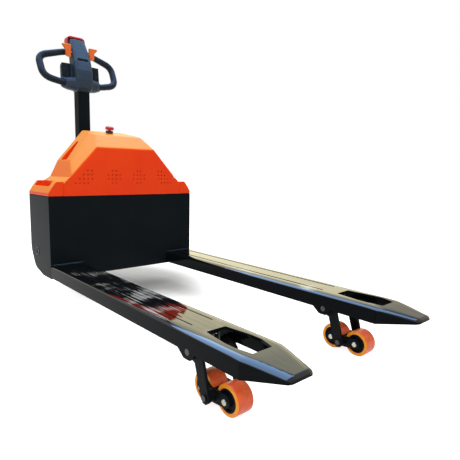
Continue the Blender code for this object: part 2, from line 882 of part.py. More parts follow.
def cover_planes():
    """The upper body's flats: front, rear, top, the sloping band, and each side's three."""
    rear_top = (0, box_depth, cover_top)
    band_top = (0, 0.0746, cover_top - 0.1604 * math.tan(top_slope))
    band_slope = math.atan2(band_top[2] - front_top, band_top[1])
    planes = [
        ((0, 0, 0), (0, -1, 0)),
        ((0, box_depth, 0), (0, 1, 0)),
        ((0, 0, cover_seat), (0, 0, -1)),
        (rear_top, (0, -math.sin(top_slope), math.cos(top_slope))),
        (band_top, (0, -math.sin(band_slope), math.cos(band_slope))),
    ]
    for side in (-1, 1):
        planes.append(((side * cover_half, 0, 0), (side, 0, 0)))
        planes.append(((side * 0.218, 0, cover_top - 0.140), (side * 0.7646, 0, 0.6445)))
        planes.append(((side * 0.218, 0, cover_top - 0.140), (side * 0.902, 0, 0.432)))
        planes.append(((side * 0.141, 0, front_top - 0.0025), (side * 0.7157, -0.2228, 0.6625)))
    return planes


def cover_base(inset):
    """Lower part with the ledge that the corner caps meet."""
    half = cover_half - inset
    low = cover_seat - (0.01 if inset else 0)
    rise = ledge_height + 0.0175 - inset
    base = prism([Vector(point) for point in (
        (-half, low), (half, low), (half, ledge_height - inset), (0.252, rise), (-0.252, rise),
        (-half, ledge_height - inset))], "Y", inset, box_depth - inset)
    corner = ((0.141, 0, front_top - 0.0025), (0.7157, -0.2228, 0.6625))
    left = ((-0.141, 0, front_top - 0.0025), (-0.7157, -0.2228, 0.6625))
    return common(base, clipped([corner, left], inset))


def vent_spots():
    """Vent holes on the front: two diamonds inside, and a stepped group by each slant."""
    spots = []
    low = box_top + 0.052
    for row, count in enumerate((2, 4, 4, 2)):
        for column in range(count):
            across = (column - (count - 1) / 2) * vent_pitch
            for middle in (-0.060, 0.060):
                spots.append((middle + across, low + row * vent_pitch))
    for row in range(4):
        first, count = max(0, 2 - row - 1), min(5 - row, 4)
        for column in range(first, first + count):
            across = 0.161 + column * vent_pitch
            spots.append((across, low + row * vent_pitch))
            spots.append((-across, low + row * vent_pitch))
    return spots


def on_slant(shape, side):
    """Lays a shape drawn along the X axis onto the cover's slanted side."""
    foot = Vector((0.2165, 0, cover_top - 0.140 + 0.0015))
    # the shape's own height then climbs the slant
    spin = Matrix.Rotation(math.atan2(0.140, 0.118) - math.pi / 2, 4, "Y")
    shape.data.transform(Matrix.Translation(foot) @ spin)
    if side < 0:
        shape.data.transform(Matrix.Diagonal((-1, 1, 1, 1)))
        shape.data.flip_normals()
    return shape


def grip_slot(side):
    """Hand recess in a slanted side: wide at its foot and rounded at its top."""
    front, rear = grip_middle - grip_width / 2, grip_middle + grip_width / 2
    outline = rounded([
        (front, 0, 0.006), (rear, 0, 0.010), (rear - 0.003, 0.56 * grip_height, 0.02),
        (rear - 0.012, grip_height, 0.008), (rear - 0.034, grip_height, 0.010),
    ], 2)
    return on_slant(prism(outline, "X", -grip_depth, 0.010), side)


def grip_back(side):
    """Block that the hand recess is sunk into."""
    reach = grip_width / 2 + 0.009
    return on_slant(box((-grip_depth - 0.003, grip_middle - reach, -0.008),
                        (0.002, grip_middle + reach, grip_height + 0.008)), side)


def stop_mount():
    """Point of the top slope where the stop button sits, and the slope's normal."""
    height = cover_top - (box_depth - stop_back) * math.tan(top_slope)
    return Vector((0, stop_back, height)), Vector((0, -math.sin(top_slope), math.cos(top_slope)))


def on_top(shape):
    """Moves a shape built round the origin onto the stop button's place."""
    place, _ = stop_mount()
    shape.data.transform(Matrix.Translation(place) @ Matrix.Rotation(top_slope, 4, "X"))
    return shape


def cover():
    upper = soften(clipped(cover_planes()), cover_edge_radius, 2, 12)
    outer = unite(upper, cover_base(0))
    hollow = clipped(cover_planes(), cover_wall)
    base_hollow = cover_base(cover_wall)
    shell = cut(outer, hollow, base_hollow)
    backs = [common(grip_back(side), clipped(cover_planes(), 0.001)) for side in (-1, 1)]
    shell = unite(shell, *backs)
    vents = joined([prism(circle(x, z, vent_radius, 6), "Y", -0.01, 0.02) for x, z in vent_spots()])
    hole = on_top(cylinder("Z", 0, 0, 0.0120, -0.03, 0.03, 16))
    return cut(cut(shell, grip_slot(-1), grip_slot(1), hole), vents)


def corner_cap(side):
    """Corner moulding on the box with an open tray."""
    inner, outer = half_width - cap_width, half_width
    profile = rounded([
        (inner, cover_seat, 0), (inner, ledge_height - 0.0005, 0.003),
        (inner + 0.030, ledge_height, 0.008), (outer - 0.014, ledge_height - 0.024, 0.010),
        (outer, cover_seat + 0.012, 0.010), (outer, cover_seat, 0),
    ])
    body = soften(prism(profile, "Y", 0, box_depth), 0.0015, 1, 60)
    tray = prism(rounded([
        (inner + 0.005, 0.070, 0.006), (outer - 0.0165, 0.026, 0.006),
        (outer - 0.0165, 0.212, 0.008), (inner + 0.005, 0.222, 0.008),
    ], 2), "Z", cover_seat + 0.014, ledge_height + 0.05)
    body = cut(body, tray)
    if side < 0:
        body.data.transform(Matrix.Diagonal((-1, 1, 1, 1)))
        body.data.flip_normals()
    return body


def stop_base():
    return on_top(turned([
        (0.0078, -0.012), (0.0117, -0.012), (0.0117, clearance), (0.0170, clearance),
        (0.0170, 0.010), (0.0150, 0.0125), (0.0078, 0.0125),
    ], "Z", 0, 0, 20))


def stop_button():
    low = 0.0125 + stop_travel + 0.001
    return on_top(turned([
        (0, -0.004), (0.0075, -0.004), (0.0075, low), (stop_radius - 0.002, low), (stop_radius, low + 0.003),
        (stop_radius, low + 0.009), (stop_radius - 0.004, low + 0.0135), (0, low + 0.015),
    ], "Z", 0, 0, 20))


# ---- drive unit ----

def turntable_outline(front):
    """Bearing disc drawn out forwards to the carriage plate."""
    radius, half = bearing_radius + 0.010, carriage_width / 2 - 0.010
    start = -math.acos(half / radius)
    outline = [Vector((-half, front)), Vector((half, front))]
    for step in range(33):
        turn = start + (math.pi - 2 * start) * step / 32
        outline.append(Vector((radius * math.cos(turn), steer_back + radius * math.sin(turn))))
    return outline


def drive_frame():
    """Root weldment: carriage plate in the lift guides, turntable plate and lever shelf."""
    half = carriage_width / 2
    rear = carriage_back + carriage_plate
    tongue = half + tongue_depth
    plate = prism(rounded([
        (-half, shelf_bottom, 0.008), (half, shelf_bottom, 0.008), (half, carriage_top - 0.155, 0),
        (tongue, carriage_top - 0.155, 0), (tongue, carriage_top, 0.003), (-tongue, carriage_top, 0.003),
        (-tongue, carriage_top - 0.155, 0), (-half, carriage_top - 0.155, 0),
    ]), "Y", carriage_back, rear)
    plate = unite(plate, prism(turntable_outline(rear - 0.004), "Z", plate_bottom, plate_top))
    gussets = []
    for side in (-1, 1):
        near, far = sorted((side * 0.079, side * 0.0865))
        gussets.append(prism([Vector(point) for point in (
            (rear - 0.004, plate_top - 0.002), (rear + 0.045, plate_top - 0.002),
            (rear + 0.045, plate_top + 0.012), (rear + 0.010, carriage_top - 0.012),
            (rear - 0.004, carriage_top - 0.012))], "X", near, far))
    side = shelf_width / 2
    shelf = box((-side, roller_centre.y - 0.024, shelf_bottom), (side, rear - 0.004, shelf_top))
    cavity_half = crank_half_width + 2 * clearance + roller_width + 0.0008
    cavity = box((-cavity_half, roller_centre.y - 0.05, roller_centre.z - shelf_slot_half),
                 (cavity_half, carriage_back - 0.020, roller_centre.z + shelf_slot_half))
    slot_half = crank_half_width + 0.0018
    slot = box((-slot_half, roller_centre.y - 0.05, shelf_bottom - 0.02),
               (slot_half, roller_centre.y + 0.045, shelf_top + 0.02))
    shelf = cut(shelf, cavity, slot)
    neck_hole = cylinder("Z", 0, steer_back, neck_radius + 0.002, plate_bottom - 0.01, plate_top + 0.01, 32)
    return unite(cut(plate, neck_hole), *gussets, shelf)


def cylinder_middle():
    return (box_depth + carriage_back) / 2


def lift_cylinder():
    low = shelf_top + clearance
    high = low + cylinder_height
    bore = ram_radius + 0.0004
    return turned([
        (0, low), (cylinder_radius, low), (cylinder_radius, high - 0.018),
        (cylinder_radius - 0.002, high - 0.016), (cylinder_radius - 0.002, high),
        (bore, high), (bore, low + 0.020), (0, low + 0.020),
    ], "Z", 0, cylinder_middle(), 24)


def lift_ram():
    high = ram_top
    low = shelf_top + cylinder_height - 0.030
    edge = 0.0015
    return turned([
        (0, low), (ram_radius - edge, low), (ram_radius, low + edge), (ram_radius, high), (0, high),
    ], "Z", 0, cylinder_middle(), 20)


def turntable_bearing():
    low, high = bearing_bottom, bearing_bottom + bearing_height
    groove = (low + high) / 2
    return turned([
        (bearing_bore, low), (bearing_radius, low), (bearing_radius, groove - 0.001),
        (bearing_radius - 0.002, groove), (bearing_radius, groove + 0.001),
        (bearing_radius, high), (bearing_bore, high),
    ], "Z", 0, steer_back, 24)


def drive_housing():
    """Turntable shoulder and neck with the gear case that carries the wheel at its side."""
    shoulder = cylinder("Z", 0, steer_back, bearing_radius - 0.004, shoulder_bottom, shoulder_top, 32)
    neck = cylinder("Z", 0, steer_back, neck_radius, shoulder_top - 0.004, neck_top, 32)
    near = drive_wheel_width / 2 + 0.0035
    case = soften(prism(strap((steer_back, drive_radius), 0.052, (steer_back, shoulder_bottom - 0.036), 0.045),
                        "X", near, near + 0.040), 0.006, 1, 60)
    leg = box((near, steer_back - 0.050, shoulder_bottom - 0.050),
              (near + 0.040, steer_back + 0.050, shoulder_top - 0.002))
    lid = cylinder("X", steer_back, drive_radius, 0.036, near + 0.036, near + 0.044, 24)
    return unite(shoulder, neck, case, leg, lid)


def drive_hub():
    half = drive_wheel_width / 2
    rim = drive_radius - drive_tyre_thickness
    return turned([
        (0, half + 0.0032), (0.024, half + 0.0032), (0.024, half - 0.012), (rim - 0.012, half - 0.012),
        (rim - 0.010, half), (rim, half), (rim, -half), (rim - 0.010, -half),
        (rim - 0.014, -half + 0.022), (0.034, -half + 0.022), (0.030, -half + 0.006), (0, -half + 0.006),
    ], "X", steer_back, drive_radius, 24)


def drive_tyre():
    half = drive_wheel_width / 2
    inner, outer, edge = drive_radius - drive_tyre_thickness + clearance, drive_radius, 0.005
    return turned([
        (inner, half), (outer - edge, half), (outer, half - edge), (outer, -half + edge),
        (outer - edge, -half), (inner, -half),
    ], "X", steer_back, drive_radius, 24)


def drive_motor():
    low, high, radius = motor_bottom, motor_top, motor_radius
    return turned([
        (0, low), (radius, low), (radius, low + 0.020), (radius - 0.003, low + 0.022),
        (radius - 0.003, high - 0.030), (radius, high - 0.028), (radius, high - 0.004),
        (radius - 0.004, high), (0, high),
    ], "Z", 0, steer_back, 24)


def motor_brake():
    low = motor_top + clearance
    return turned([
        (0, low), (brake_radius, low), (brake_radius, low + 0.012), (brake_radius - 0.003, low + 0.014),
        (brake_radius - 0.003, low + brake_height), (0, low + brake_height),
    ], "Z", 0, steer_back, 24)


def tiller_base():
    """Plate on the neck with the two cheeks that hold the tiller's pin."""
    disc = cylinder("Z", 0, steer_back, base_radius, neck_top + clearance, base_top, 32)
    inner = cheek_spacing / 2
    shapes = [disc]
    for side in (-1, 1):
        near, far = sorted((side * inner, side * (inner + cheek_plate)))
        shapes.append(prism(rounded([
            (steer_back - 0.028, neck_top + clearance, 0), (steer_back + 0.028, neck_top + clearance, 0),
            (tiller_back + 0.028, tiller_pivot_height - 0.060, 0.03),
            (tiller_back + 0.024, tiller_pivot_height + 0.024, 0.022),
            (tiller_back - 0.024, tiller_pivot_height + 0.024, 0.022),
            (steer_back - 0.032, tiller_pivot_height - 0.080, 0.03),
        ]), "X", near, far))
    hole = cylinder("X", tiller_back, tiller_pivot_height, tiller_pin_radius + clearance, -0.1, 0.1, 20)
    return cut(unite(*shapes), hole)


def tiller_pin():
    head = cheek_spacing / 2 + cheek_plate + clearance
    return turned([
        (0, -head - 0.005), (0.015, -head - 0.005), (0.015, -head), (tiller_pin_radius, -head),
        (tiller_pin_radius, head + 0.005), (0, head + 0.005),
    ], "X", tiller_back, tiller_pivot_height, 20)


def tiller_spring():
    """Torsion spring round the tiller's pin, beside the tube's boss."""
    turns, points_per_turn = 3, 18
    radius = boss_radius + spring_wire + 2 * clearance
    start = tiller_tube / 2 + spring_wire + clearance
    end = cheek_spacing / 2 - spring_wire - clearance
    path = []
    for step in range(turns * points_per_turn + 1):
        angle = 2 * math.pi * step / points_per_turn
        along = start + (end - start) * step / (turns * points_per_turn)
        path.append(Vector((along, tiller_back + radius * math.cos(angle),
                            tiller_pivot_height + radius * math.sin(angle))))
    return swept(path, spring_wire, 5)


def motor_cover():
    """Moulded hood round the motor, seated on the base plate and slotted for its cheeks."""
    low, high = motor_bottom, motor_top + brake_height + 0.034
    radius, wall = hood_radius, hood_wall
    shell = turned([
        (0, high), (radius - 0.016, high), (radius - 0.005, high - 0.005), (radius, high - 0.016),
        (radius, low), (neck_radius + 0.0015, low), (neck_radius + 0.0015, low + wall),
        (radius - wall, low + wall), (radius - wall, high - 0.017),
        (radius - 0.018, high - wall), (0, high - wall),
    ], "Z", 0, steer_back, 32)
    slots = []
    for side in (-1, 1):
        near, far = sorted((side * (cheek_spacing / 2 - 0.0015), side * (cheek_spacing / 2 + cheek_plate + 0.0015)))
        slots.append(box((near, steer_back - 0.045, high - 0.03), (far, tiller_back + 0.040, high + 0.02)))
    return cut(shell, *slots)


# ---- tiller ----

def tube_profile(half, corner):
    return rounded([(-half, tiller_back - half, corner), (half, tiller_back - half, corner),
                    (half, tiller_back + half, corner), (-half, tiller_back + half, corner)])


def tiller():
    """Square tube with its pivot boss."""
    half = tiller_tube / 2
    low, high = tiller_pivot_height - 0.034, head_bottom + 0.030
    tube = prism(tube_profile(half, 0.006), "Z", low, high)
    hollow = prism(tube_profile(half - tiller_tube_wall, 0.004), "Z", low + 0.030, high + 0.01)
    boss_half = cheek_spacing / 2 - 2 * clearance
    boss = cylinder("X", tiller_back, tiller_pivot_height, boss_radius, -boss_half, boss_half)
    bore = cylinder("X", tiller_back, tiller_pivot_height, tiller_pin_radius + clearance, -0.1, 0.1, 20)
    return cut(unite(cut(tube, hollow), boss), bore)


def head_section(share, front, rear, half, corner=0.014):
    """Rounded section of the head's spine, placed by shares of its height and depth."""
    height = head_bottom + share * head_height
    front, rear = front * head_depth, rear * head_depth
    outline = rounded([(-half, front, corner), (half, front, corner), (half, rear, corner),
                       (-half, rear, corner)])
    return [Vector((x, tiller_back + y, height)) for x, y in outline]


def saddle_section(share, front, rear, low, high, corner):
    """Rounded upright section of the head's foot, placed by shares of its sizes."""
    front, rear = front * head_depth, rear * head_depth
    low, high = low * saddle_height, high * saddle_height
    outline = rounded([(front, low, corner), (rear, low, corner), (rear, high, corner),
                       (front, high, corner)])
    return [Vector((share * saddle_width / 2, tiller_back + y, head_bottom + z)) for y, z in outline]


def spine():
    half = head_width / 2
    return loft([
        head_section(-0.040, -0.18, 0.29, 0.56 * half, 0.010),
        head_section(-0.020, -0.38, 0.34, 0.76 * half),
        head_section(0.05, -0.53, 0.39, 0.89 * half),
        head_section(0.20, -0.58, 0.43, 0.96 * half),
        head_section(0.38, -0.49, 0.48, half),
        head_section(0.57, -0.30, 0.53, half),
        head_section(0.77, -0.01, 0.66, 0.945 * half),
        head_section(0.97, 0.29, 0.81, 0.845 * half),
        head_section(1.00, 0.33, 0.78, 0.77 * half, 0.010),
    ])


def saddle():
    """Wide foot of the head, swelling towards the middle, that the loops plug into."""
    side = [
        (1.00, -0.09, 0.24, 0.33, 0.77, 0.010),
        (0.94, -0.21, 0.33, 0.18, 0.92, 0.018),
        (0.70, -0.37, 0.39, 0.05, 1.02, 0.022),
        (0.30, -0.48, 0.40, -0.03, 1.05, 0.024),
    ]
    rows = [(-row[0], *row[1:]) for row in side] + side[::-1]
    return loft([saddle_section(*row) for row in rows])


def loop_path(side, longer=0.0):
    """Centre line of a hand loop, from the spine out, down and back into the saddle."""
    wide = loop_width / 2
    high, low = head_bottom + 1.25 * loop_drop, head_bottom + saddle_height - 0.028
    rear, front = tiller_back + loop_lean - 0.014, tiller_back - 0.006
    return bent([
        Vector((side * (head_width / 2 - 0.015 - longer), rear - 0.002, high)),
        Vector((side * (head_width / 2 + 0.030), rear, high - 0.007)),
        Vector((side * wide, rear + 0.018, head_bottom + loop_drop)),
        Vector((side * (wide - 0.004), front + 0.010, low + 0.020)),
        Vector((side * (saddle_width / 2 - 0.005), front, low)),
        Vector((side * (saddle_width / 2 - 0.040 - longer), front + 0.002, low)),
    ], loop_corner, 4)


wing_axis = Vector((0, tiller_back + 0.0105, head_bottom + 0.72 * head_height))


def head_housing():
    """Spine, the wide saddle below it and an ear each side that backs the pads."""
    ear, ear_top = head_width / 2 + pad_width + 0.0075, head_bottom + saddle_height + pad_height + 0.007
    ears = tilted(prism(rounded([
        (-ear, head_bottom + 0.040, 0.004), (ear, head_bottom + 0.040, 0.004),
        (ear - 0.002, ear_top, 0.014), (-ear + 0.002, ear_top, 0.014),
    ]), "Y", tiller_back + pad_thickness, tiller_back + 0.27 * head_depth),
        (0, tiller_back, head_bottom + 0.05), ear_tilt)
    body = unite(spine(), saddle(), ears)
    tools = [prism(tube_profile(tiller_tube / 2 + clearance, 0.006), "Z",
                   head_bottom - 0.03, head_bottom + 0.030 + clearance)]
    tools += [swept(loop_path(side, 2 * clearance), loop_radius + clearance) for side in (-1, 1)]
    tools.append(cylinder("X", *pinned(wing_axis), 0.0053, -0.1, 0.1, 16))
    tools.append(belly_stem(clearance, belly_travel + 0.001))
    tools += [button_solid(place, clearance, button_travel + 0.0005) for place in button_places()]
    recess = prism(rounded([
        (-0.027, 0.1435 + head_bottom, 0.0055), (0.027, 0.1435 + head_bottom, 0.0055),
        (0.027, 0.1545 + head_bottom, 0.0055), (-0.027, 0.1545 + head_bottom, 0.0055),
    ]), "Y", tiller_back - 0.08, tiller_back - 0.0215)
    return cut(body, *tools, recess)


def hand_loop(side):
    body = swept(loop_path(side), loop_radius)
    hole = cylinder("X", *pinned(wing_axis), 0.0053, -0.1, 0.1, 16)
    return cut(body, hole)


def side_pad(side):
    """Ribbed rubber face on the head's ear."""
    low = head_bottom + saddle_height + 0.004
    high, inner = low + pad_height, head_width / 2 + 0.005
    outer = inner + pad_width
    pad = prism(rounded([
        (side * inner, low, 0.003), (side * outer, low, 0.004),
        (side * (outer - 0.002), high, 0.010), (side * inner, high, 0.004),
    ], 2), "Y", tiller_back - 0.0010, tiller_back + pad_thickness - clearance)
    grooves = []
    for index in range(4):
        line = inner + 0.007 + 0.21 * pad_width * index
        near, far = sorted((side * line, side * (line + 0.003)))
        grooves.append(box((near, tiller_back - 0.01, low + 0.006), (far, tiller_back + 0.0008, high - 0.006)))
    return tilted(cut(pad, *grooves), (0, tiller_back, head_bottom + 0.05), ear_tilt)


def throttle():
    """Butterfly: a wing each side on one shaft through the head."""
    inner, outer = head_width / 2 + 0.0015, wing_span / 2
    high = wing_axis.z + 0.58 * wing_height
    low = high - wing_height
    shapes = [cylinder("X", *pinned(wing_axis), 0.005, -inner - 0.015, inner + 0.015, 16)]
    for side in (-1, 1):
        wing = prism(rounded([
            (side * inner, low, 0.004), (side * (inner + 0.025), low + 0.006, 0.006),
            (side * (inner + 0.027), low + 0.038, 0.008), (side * outer, high - 0.007, 0.002),
            (side * outer, high, 0.002), (side * inner, high, 0.003),
        ], 2), "Y", wing_axis.y - 0.008, wing_axis.y + 0.006)
        shapes.append(soften(wing, 0.0015, 1, 60))
    return unite(*shapes)


def button_places():
    """Lift, lower and horn buttons on the operator's side."""
    return {"lift_button": (-0.018, 0.135), "lower_button": (0.018, 0.135), "horn_button": (0.0, 0.105)}


def button_solid(name, slack=0.0, deeper=0.0):
    across, rise = button_places()[name]
    seat = tiller_back + 0.034
    return cylinder("Y", across, head_bottom + rise, button_radius + slack, seat - deeper,
                    seat + (0.05 if deeper else 0.0175), 16)


def belly_stem(wider=0.0, deeper=0.0):
    """Stem that guides the red cap along the head."""
    seat = Vector((0, tiller_back + 0.062, head_top))
    low = seat - head_axis * (belly_stem_length + deeper)
    return swept([low, seat + head_axis * 0.012], belly_stem_radius + wider)


def belly_button():
    """Red cap over the head's end, pressed along the head."""
    half, high = belly_width / 2, head_top + 0.0195
    low = head_top - 0.036
    outer = rounded([(-half, low, 0.004), (half, low, 0.004), (half - 0.004, high, 0.020),
                     (-half + 0.004, high, 0.020)], 4)
    rear = head_rear - tiller_back
    cap = prism(outer, "Y", tiller_back + 0.052, tiller_back + rear)
    room = loft([[Vector((x, tiller_back + y, head_top - 0.08)) for x, y in (
        (-0.0445, 0.02), (0.0445, 0.02), (0.0445, 0.083), (-0.0445, 0.083))],
        [Vector((x, tiller_back + y, head_top + 0.0095)) for x, y in (
            (-0.0405, 0.02), (0.0405, 0.02), (0.0405, 0.083), (-0.0405, 0.083))]])
    return unite(cut(soften(cap, 0.002, 1, 60), room), belly_stem())


# ---- the whole truck ----

def build_chassis(truck):
    truck.add("battery_box", battery_box(), "black_paint")
    for side, hand in ((-1, "left"), (1, "right")):
        truck.add(f"fork_{hand}", fork(side), "black_paint")
        truck.add(f"corner_cap_{hand}", corner_cap(side), "orange_cover")
        centre = side * fork_centre
        pin = cylinder("X", *pinned(arm_pivot), arm_pin_radius,
                       centre - fork_half + clearance, centre + fork_half - clearance)
        truck.add(f"arm_pin_{hand}", pin, "steel", (centre, *pinned(arm_pivot)))
    truck.add("cover", cover(), "orange_cover")
    truck.add("battery", battery(), "battery_grey")
    truck.add("hydraulic_unit", hydraulic_unit(), "motor_grey")
    truck.add("controller", controller(), "motor_grey")
    truck.add("lift_guides", lift_guides(), "black_paint", (0, box_depth, box_top))
    truck.add("lift_ram", lift_ram(), "chrome", (0, cylinder_middle(), ram_top))
    place, _ = stop_mount()
    truck.add("stop_base", stop_base(), "black_plastic", place)
    truck.add("stop_button", stop_button(), "signal_red", place)


def build_linkage(truck):
    truck.add("torsion_shaft", torsion_shaft(), "dark_steel", shaft_centre)
    truck.add("lever_roller", lever_roller(), "steel", roller_centre)
    front, rear = axle_points()
    for side, hand in ((-1, "left"), (1, "right")):
        centre = side * fork_centre
        truck.add(f"push_rod_{hand}", push_rod(centre), "dark_steel", (centre, 0, rod_height))
        truck.add(f"load_arm_{hand}", load_arm(centre), "black_casting", (centre, *pinned(arm_pivot)))
        truck.add(f"bogie_{hand}", bogie(centre), "black_casting", (centre, *pinned(bogie_pin)))
        for end, axle in (("front", front), ("rear", rear)):
            spot = (centre, *pinned(axle))
            truck.add(f"axle_{end}_{hand}", axle_bolt(centre, axle), "steel", spot)
            truck.add(f"load_hub_{end}_{hand}", load_hub(centre, axle), "black_casting", spot)
            truck.add(f"load_tyre_{end}_{hand}", load_tyre(centre, axle), "polyurethane", spot)


def build_drive(truck):
    middle = (0, steer_back, 0)
    wheel = (0, steer_back, drive_radius)
    truck.add("drive_frame", drive_frame(), "black_paint")
    truck.add("lift_cylinder", lift_cylinder(), "dark_steel", (0, cylinder_middle(), shelf_top))
    truck.add("turntable_bearing", turntable_bearing(), "steel", middle)
    truck.add("drive_housing", drive_housing(), "motor_grey", middle)
    truck.add("drive_hub", drive_hub(), "black_casting", wheel)
    truck.add("drive_tyre", drive_tyre(), "polyurethane", wheel)
    truck.add("drive_motor", drive_motor(), "motor_grey", middle)
    truck.add("motor_brake", motor_brake(), "dark_steel", middle)
    truck.add("motor_cover", motor_cover(), "black_plastic", middle)
    truck.add("tiller_base", tiller_base(), "black_paint", middle)


def build_tiller(truck):
    pivot = (0, tiller_back, tiller_pivot_height)
    truck.add("tiller_pin", tiller_pin(), "steel", pivot)
    truck.add("tiller_spring", tiller_spring(), "steel", pivot)
    truck.add("tiller_tube", tiller(), "black_paint", pivot)
    truck.add("head_housing", head_housing(), "head_plastic", pivot)
    for side, hand in ((-1, "left"), (1, "right")):
        truck.add(f"hand_loop_{hand}", hand_loop(side), "grip_rubber", pivot)
        truck.add(f"side_pad_{hand}", side_pad(side), "grip_rubber", pivot)
    truck.add("throttle", throttle(), "lever_orange", wing_axis)
    for name in button_places():
        across, rise = button_places()[name]
        truck.add(name, button_solid(name), "grip_rubber", (across, tiller_back, head_bottom + rise))
    truck.add("belly_button", belly_button(), "signal_red", (0, tiller_back, head_top))


def main():
    remove_everything()
    truck = Truck()
    build_chassis(truck)
    build_linkage(truck)
    build_drive(truck)
    build_tiller(truck)
    print("arm swing over the lift", round(arm_swing, 5), "rad, crank run", round(2 * crank_run, 5), "m")
    print("shift back", round(shift_back, 5), "m, floor", round(floor_height, 4), "shaft", shaft_centre)


main()
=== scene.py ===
import bmesh
import bpy
import json
import math
from mathutils import Matrix, Vector


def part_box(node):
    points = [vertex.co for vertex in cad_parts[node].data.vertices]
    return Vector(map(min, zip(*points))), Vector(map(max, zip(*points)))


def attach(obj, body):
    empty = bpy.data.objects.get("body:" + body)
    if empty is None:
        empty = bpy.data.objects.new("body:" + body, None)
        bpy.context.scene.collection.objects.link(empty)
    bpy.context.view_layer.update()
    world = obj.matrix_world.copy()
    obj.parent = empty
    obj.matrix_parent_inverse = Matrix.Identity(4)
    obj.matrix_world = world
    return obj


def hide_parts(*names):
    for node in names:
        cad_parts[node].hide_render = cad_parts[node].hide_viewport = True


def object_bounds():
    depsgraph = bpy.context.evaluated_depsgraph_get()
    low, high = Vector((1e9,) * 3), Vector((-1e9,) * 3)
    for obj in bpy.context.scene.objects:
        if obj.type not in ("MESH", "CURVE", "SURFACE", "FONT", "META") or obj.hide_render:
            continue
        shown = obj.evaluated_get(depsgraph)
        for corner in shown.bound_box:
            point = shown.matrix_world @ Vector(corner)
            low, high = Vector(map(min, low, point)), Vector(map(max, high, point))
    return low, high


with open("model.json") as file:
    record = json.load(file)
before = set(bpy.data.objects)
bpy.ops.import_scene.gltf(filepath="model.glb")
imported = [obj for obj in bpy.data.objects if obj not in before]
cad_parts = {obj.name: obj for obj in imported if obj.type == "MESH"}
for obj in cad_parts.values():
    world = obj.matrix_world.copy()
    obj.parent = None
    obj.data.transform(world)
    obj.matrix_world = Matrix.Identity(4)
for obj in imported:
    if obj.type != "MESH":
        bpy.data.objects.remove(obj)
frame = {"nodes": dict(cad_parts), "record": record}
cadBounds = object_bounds()
cadNodes = frame["nodes"]
bodyMembers = frame["record"]["behaviour"]["bodies"]
slotOfNode = {entry["node"]: entry["material_slot"] for entry in frame["record"]["subparts"]}
print("frame loaded,", len(cadNodes), "solids")


# camera, light and floor

cameraSetup = {
    "place": (-0.9361, -1.4083, 0.5781),
    "yaw": 0.7264,  # turned from +Y towards +X
    "pitch": 0.1344,  # looking down
    "roll": 0.0187,
    "lens": 33.89,  # millimetres, on a sensor of this width
    "sensor": 36,
    "nearest": 0.02,
}


def addCamera():
    yaw, pitch = cameraSetup["yaw"], cameraSetup["pitch"]
    ahead = Vector((math.sin(yaw) * math.cos(pitch), math.cos(yaw) * math.cos(pitch), -math.sin(pitch)))
    side = Vector((math.cos(yaw), -math.sin(yaw), 0))
    up = side.cross(ahead)
    turn = Matrix((side, up, -ahead)).transposed() @ Matrix.Rotation(cameraSetup["roll"], 3, "Z")
    camera = bpy.data.objects.new("photoCamera", bpy.data.cameras.new("photoCamera"))
    bpy.context.scene.collection.objects.link(camera)
    camera.matrix_world = Matrix.Translation(cameraSetup["place"]) @ turn.to_4x4()
    camera.data.sensor_width = cameraSetup["sensor"]
    camera.data.lens = cameraSetup["lens"]
    camera.data.clip_start = cameraSetup["nearest"]
    bpy.context.scene.camera = camera


studio = {
    "background": "#FFFFFF",
    "nearGround": "#F3E9CF",  # warm card low round the set
    "overhead": "#C4D6F0",  # cool silk above it
    "skyRise": (0.32, 0.75),  # the card turns into the silk between these shares of the height
    "surround": "#F4F5F5",
    "surroundStrength": 0.5,
    "lamps": [  # name, place, aims at, width, depth, watts
        ("key", (-2.4, -1.9, 2.8), (0, 0, 0.3), 1.8, 1.8, 60),
        ("fill", (1.8, -3.2, 1.6), (0, -0.3, 0.2), 1.6, 1.2, 9),
        ("rim", (1.8, 2.6, 2.0), (0, 0.2, 0.5), 2.4, 1.2, 18),
        ("overhead", (0.2, 0.2, 3.2), (0, 0.1, 0.2), 2.0, 2.4, 46),
    ],
    "cards": [  # soft cards that only gloss sees: name, place, aims at, width, depth, watts, colour
        ("warmCard", (2.6, 2.3, 2.0), (0, -0.3, 0.2), 3.4, 3.0, 42, "#DDD8AC"),
        ("coolCard", (-0.4, 1.1, 3.0), (-0.4, 1.1, 0), 4.6, 3.8, 380, "#8FBBF2"),
    ],
}

floorSetup = {
    "colour": "#E4E4E2",
    "half": 30,
    "gap": 0.0004,  # to the wheels above
    "middle": (0.2, 0.62, 0.0),  # of the box's shadow
    "stretch": (0.55, 0.8, 1.0),  # how far that shadow spreads along each axis
    "glow": (0.0, 0.82, 1.0),  # plain white added there, round it and far off
    "reach": (0.3, 0.75, 6.0),  # distances from the middle, over the stretch, at which these hold
}


def toLinear(hexColour):
    channels = [int(hexColour[place:place + 2], 16) / 255 for place in (1, 3, 5)]
    return tuple(v / 12.92 if v <= 0.04045 else ((v + 0.055) / 1.055) ** 2.4 for v in channels) + (1.0,)


def addNode(tree, kind, settings=None, links=None):
    # capitalised and numbered settings are sockets, the others are the node's own options
    node = tree.nodes.new(kind)
    for key, value in (settings or {}).items():
        if isinstance(key, int) or key[0].isupper():
            node.inputs[key].default_value = value
        else:
            setattr(node, key, value)
    for key, source in (links or {}).items():
        tree.links.new(source, node.inputs[key])
    return node


def addLamp(name, place, aim, width, depth, watts, colour="#FFFFFF"):
    lamp = bpy.data.lights.new(name, "AREA")
    lamp.shape, lamp.size, lamp.size_y, lamp.energy = "RECTANGLE", width, depth, watts
    lamp.color = toLinear(colour)[:3]
    holder = bpy.data.objects.new(name, lamp)
    bpy.context.scene.collection.objects.link(holder)
    holder.location = place
    holder.rotation_euler = (Vector(aim) - Vector(place)).to_track_quat("-Z", "Y").to_euler()
    return holder


